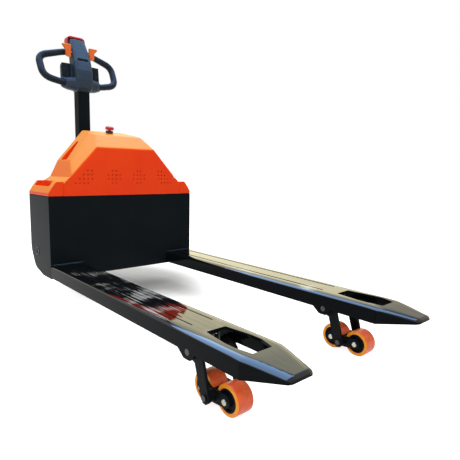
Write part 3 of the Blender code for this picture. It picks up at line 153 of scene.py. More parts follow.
def addSurround():
    # plain white for the camera, card and silk for gloss, an even pale light for everything else
    world = bpy.data.worlds.new("softSurround")
    bpy.context.scene.world = world
    world.use_nodes = True
    tree = world.node_tree
    tree.nodes.clear()
    rays = addNode(tree, "ShaderNodeLightPath")
    place = addNode(tree, "ShaderNodeTexCoord")
    height = addNode(tree, "ShaderNodeSeparateXYZ", links={0: place.outputs["Generated"]})
    low, high = studio["skyRise"]
    climb = addNode(tree, "ShaderNodeMapRange", {1: low, 2: high, 3: 0.0, 4: 1.0}, {0: height.outputs["Z"]})
    sky = addNode(tree, "ShaderNodeMix", {
        "data_type": "RGBA", 6: toLinear(studio["nearGround"]), 7: toLinear(studio["overhead"])},
        {0: climb.outputs[0]})
    surround = addNode(tree, "ShaderNodeBackground", {
        "Color": toLinear(studio["surround"]), "Strength": studio["surroundStrength"]})
    mirrored = addNode(tree, "ShaderNodeBackground", {"Strength": 1.0}, {"Color": sky.outputs[2]})
    plain = addNode(tree, "ShaderNodeBackground", {"Color": toLinear(studio["background"]), "Strength": 1.0})
    shiny = addNode(tree, "ShaderNodeMath", {"operation": "MAXIMUM"}, {
        0: rays.outputs["Is Glossy Ray"], 1: rays.outputs["Is Transmission Ray"]})
    seen = addNode(tree, "ShaderNodeMixShader", links={
        0: shiny.outputs[0], 1: surround.outputs[0], 2: mirrored.outputs[0]})
    mix = addNode(tree, "ShaderNodeMixShader", links={
        0: rays.outputs["Is Camera Ray"], 1: seen.outputs[0], 2: plain.outputs[0]})
    addNode(tree, "ShaderNodeOutputWorld", links={"Surface": mix.outputs[0]})


def addLamps():
    # the lamps light the truck, and gloss mirrors only the cards
    for settings in studio["lamps"]:
        addLamp(*settings).visible_glossy = False
    for settings in studio["cards"]:
        addLamp(*settings).visible_diffuse = False


def floorMaterial():
    # matt and pale, and brightened to plain white away from the truck's shadow
    material = bpy.data.materials.new("paleFloor")
    material.use_nodes = True
    tree = material.node_tree
    tree.nodes.clear()
    matt = addNode(tree, "ShaderNodeBsdfDiffuse", {"Color": toLinear(floorSetup["colour"])})
    rays = addNode(tree, "ShaderNodeLightPath")
    spot = addNode(tree, "ShaderNodeTexCoord")
    apart = addNode(tree, "ShaderNodeMapping", {
        "vector_type": "TEXTURE", "Location": floorSetup["middle"], "Scale": floorSetup["stretch"]},
        {"Vector": spot.outputs["Object"]})
    reach = addNode(tree, "ShaderNodeVectorMath", {"operation": "LENGTH"}, {0: apart.outputs[0]})
    (low, middle, high), (near, mid, far) = floorSetup["glow"], floorSetup["reach"]
    first = addNode(tree, "ShaderNodeMapRange", {
        "interpolation_type": "SMOOTHSTEP", 1: near, 2: mid, 3: low, 4: middle}, {0: reach.outputs["Value"]})
    second = addNode(tree, "ShaderNodeMapRange", {
        "interpolation_type": "SMOOTHSTEP", 1: mid, 2: far, 3: 0.0, 4: high - middle},
        {0: reach.outputs["Value"]})
    glow = addNode(tree, "ShaderNodeMath", {"operation": "ADD"}, {0: first.outputs[0], 1: second.outputs[0]})
    seen = addNode(tree, "ShaderNodeMath", {"operation": "MAXIMUM"}, {
        0: rays.outputs["Is Camera Ray"], 1: rays.outputs["Is Glossy Ray"]})
    share = addNode(tree, "ShaderNodeMath", {"operation": "MULTIPLY"}, {
        0: glow.outputs[0], 1: seen.outputs[0]})
    white = addNode(tree, "ShaderNodeEmission", {"Color": toLinear(studio["background"])},
                    {"Strength": share.outputs[0]})
    both = addNode(tree, "ShaderNodeAddShader", links={0: matt.outputs[0], 1: white.outputs[0]})
    addNode(tree, "ShaderNodeOutputMaterial", links={"Surface": both.outputs[0]})
    return material


def addFloor():
    bm = bmesh.new()
    bmesh.ops.create_grid(bm, size=floorSetup["half"])
    mesh = bpy.data.meshes.new("floor")
    bm.to_mesh(mesh)
    bm.free()
    mesh.materials.append(floorMaterial())
    floor = bpy.data.objects.new("floor", mesh)
    floor.location.z = cadBounds[0][2] - floorSetup["gap"]
    bpy.context.scene.collection.objects.link(floor)


addCamera()
addSurround()
addLamps()
addFloor()
bpy.context.scene.view_settings.view_transform = "Standard"
print("camera, lamps and floor set")


# materials

patterns = {
    "noise": (0.3, 0.7),  # nearly all of a noise's values lie between these
    "upward": (0.90, 0.97),  # a face starts to count as a top at the first share of upward
}


def startMaterial(name, settings):
    # every finish starts from its plain colour, roughness and metal, set on the shader itself
    material = bpy.data.materials.new(name)
    material.use_nodes = True
    tree = material.node_tree
    shader = tree.nodes["Principled BSDF"]
    shader.inputs["Base Color"].default_value = toLinear(settings["colour"])
    shader.inputs["Roughness"].default_value = settings["roughness"][0]
    shader.inputs["Metallic"].default_value = settings.get("metallic", 0.0)
    if "ior" in settings:
        shader.inputs["IOR"].default_value = settings["ior"]
    if "coat" in settings:
        shader.inputs["Coat Weight"].default_value = settings["coat"][0]
        shader.inputs["Coat Roughness"].default_value = settings["coat"][1]
    if "subsurface" in settings:
        shader.inputs["Subsurface Weight"].default_value = settings["subsurface"][0]
        shader.inputs["Subsurface Radius"].default_value = settings["subsurface"][1]
        shader.inputs["Subsurface Scale"].default_value = settings["subsurface"][2]
    material.diffuse_color = toLinear(settings["colour"])
    return material, tree, shader


def perMetre(millimetres):
    # a pattern's scale from the real size of its grain
    return 1000.0 / millimetres


def facingShade(tree, place, turned, colour):
    # faces turned along one axis take another colour; where they turn up, it is a painted highlight for
    # light from above;
    # MAXIMUM takes only the positive way and ABSOLUTE takes both
    faced = addNode(tree, "ShaderNodeSeparateXYZ", links={0: place.outputs["Normal"]})
    size = addNode(tree, "ShaderNodeMath", {"operation": turned["side"], 1: 0.0},
                   {0: faced.outputs[turned["axis"]]})
    share = addNode(tree, "ShaderNodeMapRange", {
        "interpolation_type": "SMOOTHSTEP", 1: turned["from"], 2: turned["to"], 3: 0.0,
        4: turned["most"]}, {0: size.outputs[0]})
    mixed = addNode(tree, "ShaderNodeMix", {"data_type": "RGBA", 7: toLinear(turned["colour"])},
                    {0: share.outputs[0], 6: colour})
    return mixed.outputs[2]


def wearAndSheenMask(tree, place, wearAndSheen):
    # thin marks that run along the piece, thickest in wide soft patches: real scuffs, and on the forks' tops
    # partly painted reflection streaks
    along = addNode(tree, "ShaderNodeMapping", {"Scale": wearAndSheen["stretch"]},
                    {"Vector": place.outputs["Object"]})
    scuffAndStreak = addNode(tree, "ShaderNodeTexNoise", {
        "Scale": perMetre(wearAndSheen["sizeMm"]), "Detail": 6.0, "Roughness": 0.65},
        {"Vector": along.outputs[0]})
    cloud = addNode(tree, "ShaderNodeTexNoise", {"Scale": perMetre(wearAndSheen["patchMm"]), "Detail": 2.0},
                    {"Vector": place.outputs["Object"]})
    both = addNode(tree, "ShaderNodeMath", {"operation": "MULTIPLY"},
                   {0: scuffAndStreak.outputs[0], 1: cloud.outputs[0]})
    mask = addNode(tree, "ShaderNodeMapRange", {1: wearAndSheen["from"], 2: wearAndSheen["to"], 3: 0.0, 4: wearAndSheen["most"]},
                   {0: both.outputs[0]})
    if "onTop" in wearAndSheen:
        # only on upward faces, and strongest over a stretch of the truck's length
        front, rear, fade = wearAndSheen["onTop"]
        low, high = patterns["upward"]
        facing = addNode(tree, "ShaderNodeSeparateXYZ", links={0: place.outputs["Normal"]})
        upward = addNode(tree, "ShaderNodeMapRange", {1: low, 2: high, 3: 0.0, 4: 1.0},
                         {0: facing.outputs["Z"]})
        point = addNode(tree, "ShaderNodeSeparateXYZ", links={0: place.outputs["Object"]})
        begins = addNode(tree, "ShaderNodeMapRange", {1: front - fade, 2: front, 3: 0.0, 4: 1.0},
                         {0: point.outputs["Y"]})
        ends = addNode(tree, "ShaderNodeMapRange", {1: rear, 2: rear + fade, 3: 1.0, 4: 0.0},
                       {0: point.outputs["Y"]})
        for limit in (upward, begins, ends):
            mask = addNode(tree, "ShaderNodeMath", {"operation": "MULTIPLY"},
                           {0: mask.outputs[0], 1: limit.outputs[0]})
    return mask.outputs[0]


def finishOf(name, settings):
    # colour drifts between two shades, roughness between two levels, and a fine grain lifts the surface
    material, tree, shader = startMaterial(name, settings)
    low, high = patterns["noise"]
    place = addNode(tree, "ShaderNodeTexCoord")
    stretch = addNode(tree, "ShaderNodeMapping", {"Scale": settings.get("stretch", (1, 1, 1))},
                      {"Vector": place.outputs["Object"]})
    drift = addNode(tree, "ShaderNodeTexNoise", {
        "Scale": perMetre(settings["driftMm"]), "Detail": 3.0, "Roughness": 0.6},
        {"Vector": stretch.outputs[0]})
    grain = addNode(tree, "ShaderNodeTexNoise", {
        "Scale": perMetre(settings["grainMm"]), "Detail": settings.get("grainDetail", 2.0),
        "Roughness": 0.55}, {"Vector": stretch.outputs[0]})
    shade = addNode(tree, "ShaderNodeMapRange", {1: low, 2: high, 3: 0.0, 4: 1.0}, {0: drift.outputs[0]})
    mixed = addNode(tree, "ShaderNodeMix", {
        "data_type": "RGBA", 6: toLinear(settings["colour"]), 7: toLinear(settings["second"])},
        {0: shade.outputs[0]})
    smoothest, roughest = settings["roughness"]
    rough = addNode(tree, "ShaderNodeMapRange", {1: low, 2: high, 3: smoothest, 4: roughest},
                    {0: grain.outputs[0]})
    lastColour, lastRough = mixed.outputs[2], rough.outputs[0]
    if "facing" in settings:
        lastColour = facingShade(tree, place, settings["facing"], lastColour)
    if "wearAndSheen" in settings:
        wearAndSheen = settings["wearAndSheen"]
        mask = wearAndSheenMask(tree, place, wearAndSheen)
        wornAndSheened = addNode(tree, "ShaderNodeMix", {"data_type": "RGBA", 7: toLinear(wearAndSheen["colour"])},
                       {0: mask, 6: lastColour})
        dull = addNode(tree, "ShaderNodeMath", {"operation": "MULTIPLY_ADD", 1: wearAndSheen["dulling"]},
                       {0: mask, 2: lastRough})
        lastColour, lastRough = wornAndSheened.outputs[2], dull.outputs[0]
    if "polished" in settings:
        # sliding loads polish the coat on faces that look up, so only they get the deep clear gloss
        least, full = settings["polished"]
        faced = addNode(tree, "ShaderNodeSeparateXYZ", links={0: place.outputs["Normal"]})
        shine = addNode(tree, "ShaderNodeMapRange", {1: least, 2: full, 3: 0.0, 4: settings["coat"][0]},
                        {0: faced.outputs["Z"]})
        tree.links.new(shine.outputs[0], shader.inputs["Coat Weight"])
    tree.links.new(lastColour, shader.inputs["Base Color"])
    tree.links.new(lastRough, shader.inputs["Roughness"])
    bump = addNode(tree, "ShaderNodeBump", {
        "Strength": settings["bump"][0], "Distance": settings["bump"][1] / 1000},
        {"Height": grain.outputs[0]})
    tree.links.new(bump.outputs[0], shader.inputs["Normal"])
    if "coat" in settings:
        tree.links.new(bump.outputs[0], shader.inputs["Coat Normal"])
    return material


# a finish's bump is its strength and its depth in millimetres, and its coat is weight and roughness;
# real grain is mostly finer than a millimetre, and is drawn at about one so that close views show it;
# onTop is where the pale scuffs and painted reflection streaks start and end along Y, and the length over
# which they fade out beyond them;
# the names are the record's slots, and plate_paint is for plates in the slot black_paint
finishes = {
    # powder coat on welded steel: deep wet gloss, scuffed pale where pallets slide, the pale streaks on the
    # tops partly painted reflection; its long shallow waves, drawn coarser than they are, break reflections
    # into streaks
    "black_paint": finishOf("glossPowderCoat", {
        "colour": "#0A0D10", "second": "#0E1114", "roughness": (0.05, 0.10), "ior": 1.1,
        "coat": (1.0, 0.04), "polished": (0.2, 0.6), "driftMm": 180, "grainMm": 16, "bump": (0.7, 0.7),
        "stretch": (1.0, 0.05, 1.0),
        # the pale streaks on the tops are real scuffs, and partly a painted reflection
        "wearAndSheen": {"stretch": (1.0, 0.012, 1.0), "sizeMm": 3.4, "patchMm": 130, "from": 0.295, "to": 0.36,
                 "most": 0.8, "colour": "#C9CCCB", "dulling": 0.4, "onTop": (-0.50, 0.04, 0.16)}}),
    # the same coat sprayed drier on the plates: satin, so it mirrors the floor only dimly
    "plate_paint": finishOf("satinPowderCoat", {
        "colour": "#10161A", "second": "#151A1D", "roughness": (0.26, 0.34), "ior": 1.08,
        "driftMm": 220, "grainMm": 3.0, "bump": (0.05, 0.15)}),
    # moulded ABS: even satin gloss, hardly any grain; faces turned up are painted paler and yellower, a
    # painted highlight for strong light from above
    "orange_cover": finishOf("mouldedAbsOrange", {
        "colour": "#F03C14", "second": "#F24A14", "roughness": (0.30, 0.38), "ior": 1.19,
        # painted light: faces turned up take this paler, yellower colour, standing in for the light from
        # above
        "facing": {"axis": "Z", "side": "MAXIMUM", "from": 0.12, "to": 0.72, "most": 0.85,
                   "colour": "#E8972A"},
        "driftMm": 420, "grainMm": 1.6, "bump": (0.08, 0.08)}),
    # cast polyurethane: waxy, light goes a little way in; the side faces are painted paler and yellower than
    # the tread
    "polyurethane": finishOf("castPolyurethane", {
        "colour": "#F6703A", "second": "#E6582C", "roughness": (0.24, 0.38), "ior": 1.36,
        "facing": {"axis": "X", "side": "ABSOLUTE", "from": 0.35, "to": 0.85, "most": 1.0,
                   "colour": "#FA9A1C"},
        "subsurface": (0.2, (0.9, 0.35, 0.1), 0.004), "driftMm": 22, "grainMm": 1.5, "bump": (0.12, 0.1),
        "wearAndSheen": {"stretch": (1.0, 1.0, 1.0), "sizeMm": 9, "patchMm": 45, "from": 0.30, "to": 0.5,
                 "most": 0.3, "colour": "#A8381F", "dulling": 0.3}}),
    # sand-cast iron under a brushed black coat: lumpy, uneven sheen
    "black_casting": finishOf("paintedCastIron", {
        "colour": "#0E1114", "second": "#15181B", "roughness": (0.34, 0.52), "ior": 1.12, "driftMm": 25,
        "grainMm": 1.8, "grainDetail": 4.0, "bump": (0.35, 0.25),
        "wearAndSheen": {"stretch": (1.0, 1.0, 1.0), "sizeMm": 6, "patchMm": 30, "from": 0.32, "to": 0.5,
                 "most": 0.5, "colour": "#5D4A3C", "dulling": 0.25}}),
    # glass-filled nylon with a fine spark-eroded grain: matt slate, with broad soft highlights
    "head_plastic": finishOf("grainedNylonSlate", {
        "colour": "#232E3A", "second": "#293542", "roughness": (0.38, 0.50), "ior": 1.28, "driftMm": 60,
        "grainMm": 0.8, "bump": (0.3, 0.08)}),
    # moulded rubber grip: dull, slightly dusty
    "grip_rubber": finishOf("mouldedGripRubber", {
        "colour": "#151A21", "second": "#1B222B", "roughness": (0.36, 0.50), "ior": 1.22, "driftMm": 30,
        "grainMm": 0.9, "bump": (0.35, 0.1)}),
    # moulded acetal: smooth and slick; faces turned up are painted yellow, a painted highlight for the light
    # from above
    "lever_orange": finishOf("mouldedAcetalOrange", {
        "colour": "#DC6A1E", "second": "#CF5C1A", "roughness": (0.28, 0.38), "ior": 1.42, "driftMm": 20,
        # painted light: faces turned up take this yellow, standing in for the light from above
        "facing": {"axis": "Z", "side": "MAXIMUM", "from": 0.25, "to": 0.85, "most": 1.0,
                   "colour": "#FBB034"},
        "grainMm": 1.0, "bump": (0.15, 0.06)}),
    # moulded polycarbonate: clean, glossy signal red
    "signal_red": finishOf("mouldedPolycarbonateRed", {
        "colour": "#C4201C", "second": "#B01717", "roughness": (0.22, 0.32), "ior": 1.36, "driftMm": 25,
        "grainMm": 1.2, "bump": (0.08, 0.05)}),
    # turned steel with a dull zinc coat: warm grey, its gleam blurred and patchy
    "steel": finishOf("zincPlatedSteel", {
        "colour": "#B9B3A2", "second": "#A39C8A", "roughness": (0.28, 0.42), "metallic": 1.0,
        "driftMm": 9, "grainMm": 0.7, "bump": (0.2, 0.05)}),
    # ground and hard-chromed rod: a bright, even mirror
    "chrome": finishOf("hardChromeRod", {
        "colour": "#D4D7DA", "second": "#CBCED2", "roughness": (0.06, 0.12), "metallic": 1.0,
        "driftMm": 30, "grainMm": 1.0, "bump": (0.04, 0.03)}),
    # blackened and oiled steel: dark, with a soft oily gleam
    "dark_steel": finishOf("oiledBlackSteel", {
        "colour": "#3C3D40", "second": "#4A4845", "roughness": (0.32, 0.46), "metallic": 0.85,
        "driftMm": 20, "grainMm": 1.2, "bump": (0.2, 0.08)}),
    # enamel sprayed on castings: even satin grey over a slightly rough skin
    "motor_grey": finishOf("sprayedGreyEnamel", {
        "colour": "#565B61", "second": "#61666C", "roughness": (0.36, 0.48), "ior": 1.5, "driftMm": 40,
        "grainMm": 1.8, "bump": (0.25, 0.15)}),
    # moulded black ABS with a fine grain: nearly matt
    "black_plastic": finishOf("grainedAbsBlack", {
        "colour": "#15171A", "second": "#1B1D21", "roughness": (0.44, 0.56), "ior": 1.48, "driftMm": 60,
        "grainMm": 0.9, "bump": (0.3, 0.08)}),
    # moulded polypropylene battery case: dull and slightly waxy
    "battery_grey": finishOf("mouldedBatteryCase", {
        "colour": "#2B2E33", "second": "#33363B", "roughness": (0.40, 0.52), "ior": 1.49, "driftMm": 50,
        "grainMm": 1.2, "bump": (0.2, 0.08)}),
}
print("finishes made,", len(finishes))


# tools for shapes

shaping = {
    "weld": 0.00001,  # points closer than this are one
    "flat": 0.5,  # degrees between faces that count as one
    "longSteps": 5,  # segments over a wide rounding
    "cornerShare": 0.48,  # of its shorter leg that a rounded corner may use up
    "flatWeight": 90,  # how far shading leans towards the large faces
    "smooth": 35,  # degrees between faces that shade softly, where nothing else is said
    "barSmooth": 50,  # on round bars
    "crisp": 30,  # on small hard-edged pieces
}


def bodyOf(nodeName):
    return next(body for body, members in bodyMembers.items() if nodeName in members)


def settled(piece):
    # the modifiers' result becomes the piece's own mesh
    view = bpy.context.evaluated_depsgraph_get()
    mesh = bpy.data.meshes.new_from_object(piece.evaluated_get(view))
    piece.modifiers.clear()
    piece.data = mesh
    return piece


def evenShading(piece, smoothAngle):
    # flat faces stay flat and only the rounded edges between them shade softly
    piece.data.shade_smooth()
    piece.data.set_sharp_from_angle(angle=math.radians(smoothAngle))
    flow = piece.modifiers.new("even", "WEIGHTED_NORMAL")
    flow.weight = shaping["flatWeight"]
    flow.keep_sharp = True
    return settled(piece)


def toPiece(bm, name, smoothAngle=shaping["smooth"]):
    bmesh.ops.recalc_face_normals(bm, faces=bm.faces)
    mesh = bpy.data.meshes.new(name)
    bm.to_mesh(mesh)
    bm.free()
    piece = bpy.data.objects.new(name, mesh)
    bpy.context.scene.collection.objects.link(piece)
    return evenShading(piece, smoothAngle)


def seat(piece, slot, body, *replaced, finish=None):
    # gives a piece its finish, the body it rides on and the solids it stands for
    piece.data.materials.clear()
    piece.data.materials.append(finishes[finish or slot])
    if replaced:
        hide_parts(*replaced)
    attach(piece, body)
    return piece


def refined(nodeName, edgeWidth, segments=2, finish=None, longEdge=None, sharpAngle=32, smoothAngle=40):
    # the solid's own shape with its sharp edges rounded, as a press, casting or mould leaves them;
    # edges over a given length can have a wider rounding of their own first
    bm = bmesh.new()
    bm.from_mesh(cadNodes[nodeName].data)
    bmesh.ops.remove_doubles(bm, verts=bm.verts, dist=shaping["weld"])
    bmesh.ops.dissolve_limit(bm, angle_limit=math.radians(shaping["flat"]), verts=bm.verts, edges=bm.edges)
    if longEdge:
        least, width, angle = longEdge
        edges = [edge for edge in bm.edges if edge.is_manifold and edge.calc_length() > least
                 and edge.calc_face_angle() > math.radians(angle)]
        bmesh.ops.bevel(bm, geom=edges, offset=width, segments=shaping["longSteps"], profile=0.5,
                        affect="EDGES", clamp_overlap=True, loop_slide=True)
    edges = [edge for edge in bm.edges if edge.is_manifold
             and edge.calc_face_angle() > math.radians(sharpAngle)]
    bmesh.ops.bevel(bm, geom=edges, offset=edgeWidth, segments=segments, profile=0.5,
                    affect="EDGES", clamp_overlap=True, loop_slide=True)
    piece = toPiece(bm, nodeName + ".finish", smoothAngle)
    return seat(piece, slotOfNode[nodeName], bodyOf(nodeName), nodeName, finish=finish)


def combined(piece, other, operation):
    # cuts, joins or keeps what the two share; the other one is used up
    step = piece.modifiers.new("combine", "BOOLEAN")
    step.object, step.operation, step.solver = other, operation, "EXACT"
    settled(piece)
    bpy.data.objects.remove(other)
    return piece


def copyOf(nodeName, name):
    piece = bpy.data.objects.new(name, cadNodes[nodeName].data.copy())
    bpy.context.scene.collection.objects.link(piece)
    return piece


def wall(bm, last, ring):
    # faces between two rings of as many points
    for step in range(len(ring)):
        bm.faces.new((last[step - 1], last[step], ring[step], ring[step - 1]))


def addSkin(bm, rings):
    # closed skin through rings of as many points, capped at both ends
    loops = [[bm.verts.new(point) for point in ring] for ring in rings]
    for last, ring in zip(loops, loops[1:]):
        wall(bm, last, ring)
    bm.faces.new(loops[0])
    bm.faces.new(loops[-1])


def lofted(name, rings, smoothAngle=shaping["smooth"]):
    bm = bmesh.new()
    addSkin(bm, rings)
    return toPiece(bm, name, smoothAngle)


def sweep(name, path, radii, sides):
    # round bar along a path; each point has its own radius
    rings = []
    side = Vector((0, 1, 0))
    turns = [2 * math.pi * step / sides for step in range(sides)]
    for index, point in enumerate(path):
        ahead = (path[min(index + 1, len(path) - 1)] - path[max(index - 1, 0)]).normalized()
        side = (side - ahead * side.dot(ahead)).normalized()
        other = ahead.cross(side)
        rings.append([point + (side * math.cos(turn) + other * math.sin(turn)) * radii[index]
                      for turn in turns])
    return lofted(name, rings, shaping["barSmooth"])


def roundedCorner(before, here, after, rounding, steps):
    # points of a soft corner, from one leg to the other
    back, on = before - here, after - here
    most = shaping["cornerShare"]
    reach = min(rounding, most * back.length, most * on.length)
    start, end = here + back.normalized() * reach, here + on.normalized() * reach
    shares = [step / steps for step in range(steps + 1)]
    return [start.lerp(here, share).lerp(here.lerp(end, share), share) for share in shares]


def bentPath(points, radius, steps):
    # path through the points with its inner corners rounded
    path = [points[0]]
    for before, here, after in zip(points, points[1:], points[2:]):
        path += roundedCorner(before, here, after, radius, steps)
    path.append(points[-1])
    return path


def arcLoop(corners, steps=4):
    # closed profile whose corners (radius, along, rounding) are rounded
    loop = []
    for index, (u, v, rounding) in enumerate(corners):
        if rounding <= 0:
            loop.append((u, v))
            continue
        before = Vector(corners[index - 1][:2])
        after = Vector(corners[(index + 1) % len(corners)][:2])
        loop += [tuple(point) for point in roundedCorner(before, Vector((u, v)), after, rounding, steps)]
    return loop


def centreOf(nodeName):
    low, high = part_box(nodeName)
    return (low + high) / 2


def spun(name, profile, axis, centre, sides):
    # a ring or disc turned about an axis; profile is a closed loop of (radius, along)
    bm = bmesh.new()
    rings = []
    for radius, along in profile:
        ring = []
        for step in range(sides):
            turn = 2 * math.pi * step / sides
            u, v = radius * math.cos(turn), radius * math.sin(turn)
            point = {"X": (along, u, v), "Y": (u, along, v), "Z": (u, v, along)}[axis]
            ring.append(bm.verts.new(Vector(point) + centre))
        rings.append(ring)
    for index, ring in enumerate(rings):
        wall(bm, rings[index - 1], ring)
    return toPiece(bm, name)


# load wheels

loadWheel = {
    "halfWidth": 0.025,
    "tyre": [  # radius, distance in from the side face, rounding
        (0.0400, 0, 0.0042), (0.0298, 0, 0.0006)],
    "tyreSides": 56,
    "tyreSteps": 6,
    "hub": [  # from the rim over the dished web to the bore: radius, distance in, rounding
        (0.0294, 0.0004, 0.0008), (0.0254, 0.0004, 0.0008), (0.0229, 0.0060, 0.0020),
        (0.0150, 0.0060, 0.0015), (0.0145, 0.0012, 0.0008), (0.0126, 0.0012, 0.0005),
        (0.0124, -0.0010, 0.0004), (0.0084, -0.0010, 0.0003)],
    "hubSides": 40,
    "hubSteps": 3,
}


def wheelLoop(face, steps):
    # a wheel's section from the profile of one side, which the other side mirrors
    half = loadWheel["halfWidth"]
    far = [(radius, half - depth, rounding) for radius, depth, rounding in face]
    near = [(radius, -along, rounding) for radius, along, rounding in far]
    return arcLoop([near[0]] + far + near[:0:-1], steps)


def makeLoadWheels():
    tyreLoop = wheelLoop(loadWheel["tyre"], loadWheel["tyreSteps"])
    hubLoop = wheelLoop(loadWheel["hub"], loadWheel["hubSteps"])
    for hand in ("left", "right"):
        for end in ("front", "rear"):
            place = f"{end}_{hand}"
            centre = centreOf(f"load_tyre_{place}")
            tyre = spun(f"loadTyre.{place}", tyreLoop, "X", centre, loadWheel["tyreSides"])
            seat(tyre, "polyurethane", f"load_wheel_{place}", f"load_tyre_{place}")
            hub = spun(f"loadHub.{place}", hubLoop, "X", centre, loadWheel["hubSides"])
            seat(hub, "black_casting", f"load_wheel_{place}", f"load_hub_{place}")
    print("load wheels made")


makeLoadWheels()


# forks

fork = {
    "centre": 0.2725,
    "halfWidth": 0.070,
    "tipHalf": 0.038,
    "shoulder": -0.7763,  # where the nose starts to taper
    "tip": -0.8923,
    "tipRounding": 0.010,
    "tipSteps": 7,
    "top": 0.190,
    "topDrop": 0.014,  # of the top over the nose
    "pinchDrop": 0.8,  # how far the top follows the rounding of the tip
    "blend": 0.045,  # half length of the soft bend into the nose
    "blendSteps": 12,
    "roll": (0.026, 0.0092),  # the pressed top edges fall off over this width and depth
    "rollShare": 0.6,  # the most of the half width that a rolled edge takes
    "rollSteps": 14,
    "skim": 0.0002,  # taken off all round, so that the blank never lies in a face of the solid
    "blankBottom": 0.10,  # below everything on the fork
    "straight": (0.36, -0.20, -0.7263),  # sections of the straight length
    "noseSections": (0.05, 0.025, 0.014),  # from the tip
    "rim": (0.0008, 2, 38),  # edge width, segments and least angle
    "smooth": 36,
}


def topFall(y):
    # how far the top has fallen at y, straight over the nose and softly bent where that starts
    ahead = fork["shoulder"] - y
    slope, blend = fork["topDrop"] / (fork["shoulder"] - fork["tip"]), fork["blend"]
    if ahead < -blend:
        return 0.0
    if ahead > blend:
        return slope * ahead
    return slope * (ahead + blend) ** 2 / (4 * blend)


def forkSection(side, y):
    # one section of the blank: straight sides, and the top edges rolled over a large radius
    fromTip = y - fork["tip"]
    share = fromTip / (fork["shoulder"] - fork["tip"])
    half = min(fork["halfWidth"], fork["tipHalf"] + (fork["halfWidth"] - fork["tipHalf"]) * share)
    rounding = fork["tipRounding"]
    pinch = 0.0
    if fromTip < rounding:
        pinch = rounding - math.sqrt(max(0.0, rounding ** 2 - (rounding - fromTip) ** 2))
    half -= pinch + fork["skim"]
    top = fork["top"] - topFall(y) - fork["pinchDrop"] * pinch - fork["skim"]
    ring = [(-half, fork["blankBottom"] + pinch), (half, fork["blankBottom"] + pinch)]
    across, down = fork["roll"]
    across = min(across, fork["rollShare"] * half)
    turns = [math.pi / 2 * step / fork["rollSteps"] for step in range(fork["rollSteps"] + 1)]
    for edgeSide in (1, -1):
        for turn in turns[::edgeSide]:
            ring.append((edgeSide * (half - across + across * math.cos(turn)),
                         top - down + down * math.sin(turn)))
    return [Vector((side * fork["centre"] + u, y, v)) for u, v in ring]


def makeForks():
    # the solid, kept only where it lies inside a blank with the pressed form of the real fork
    shoulder, tip, steps = fork["shoulder"], fork["tip"], fork["tipSteps"]
    places = list(fork["straight"])
    places += [shoulder + fork["blend"] * (1 - 2 * step / fork["blendSteps"])
               for step in range(fork["blendSteps"] + 1)]
    places += [tip + ahead for ahead in fork["noseSections"]]
    places += [tip + fork["tipRounding"] * (1 - math.sin(math.pi / 2 * step / steps))
               for step in range(steps)]
    places.append(tip + fork["skim"])
    for side, hand in ((-1, "left"), (1, "right")):
        piece = copyOf(f"fork_{hand}", f"fork.{hand}")
        blank = lofted("blank", [forkSection(side, y) for y in places])
        combined(piece, blank, "INTERSECT")
        rim = piece.modifiers.new("rim", "BEVEL")
        rim.width, rim.segments, leastAngle = fork["rim"]
        rim.limit_method, rim.angle_limit = "ANGLE", math.radians(leastAngle)
        rim.use_clamp_overlap = True
        settled(piece)
        seat(evenShading(piece, fork["smooth"]), "black_paint", "chassis", f"fork_{hand}")
    print("forks made")


makeForks()


# bolts of the drive wheel and heads of the bogies' pins

bolts = {
    "drive": {"count": 6, "circle": 0.054, "face": -0.0130, "head": 0.0065, "height": 0.0048},
    "arm": {"face": 0.3332, "head": 0.0078, "height": 0.0022, "sides": 28},
    "sunk": 0.0005,  # a head starts this far inside its seat
    "chamfer": (0.72, 0.82),  # it starts at this share of the height and leaves this share of the radius
}


def boltHead(bm, centre, outward, radius, height, sides=6):
    # hexagon or round head with a chamfered top, standing along X
    rise, left = bolts["chamfer"]
    turns = [2 * math.pi * (step + 0.5) / sides for step in range(sides)]
    rings = []
    for out, share in ((-bolts["sunk"], 1.0), (height * rise, 1.0), (height, left)):
        rings.append([centre + Vector((outward * out, radius * share * math.cos(turn),
                                       radius * share * math.sin(turn))) for turn in turns])
    addSkin(bm, rings)


def makeBolts():
    drive, arm = bolts["drive"], bolts["arm"]
    bm = bmesh.new()
    hub = centreOf("drive_tyre")
    for index in range(drive["count"]):
        turn = 2 * math.pi * index / drive["count"]
        place = Vector((drive["face"], hub.y + drive["circle"] * math.cos(turn),
                        hub.z + drive["circle"] * math.sin(turn)))
        boltHead(bm, place, -1, drive["head"], drive["height"])
    seat(toPiece(bm, "driveWheel.bolts", shaping["crisp"]), "steel", "drive_wheel")
    for side, hand in ((-1, "left"), (1, "right")):
        pivot = (centreOf(f"axle_front_{hand}") + centreOf(f"axle_rear_{hand}")) / 2
        bm = bmesh.new()
        for outward in (side, -side):
            face = arm["face"] if outward == side else 2 * fork["centre"] - arm["face"]
            place = Vector((side * face, pivot.y, pivot.z))
            boltHead(bm, place, outward, arm["head"], arm["height"], arm["sides"])
        seat(toPiece(bm, f"bogiePin.{hand}", shaping["crisp"]), "dark_steel", f"load_arm_{hand}")
    print("bolts made")


makeBolts()


# emergency stop

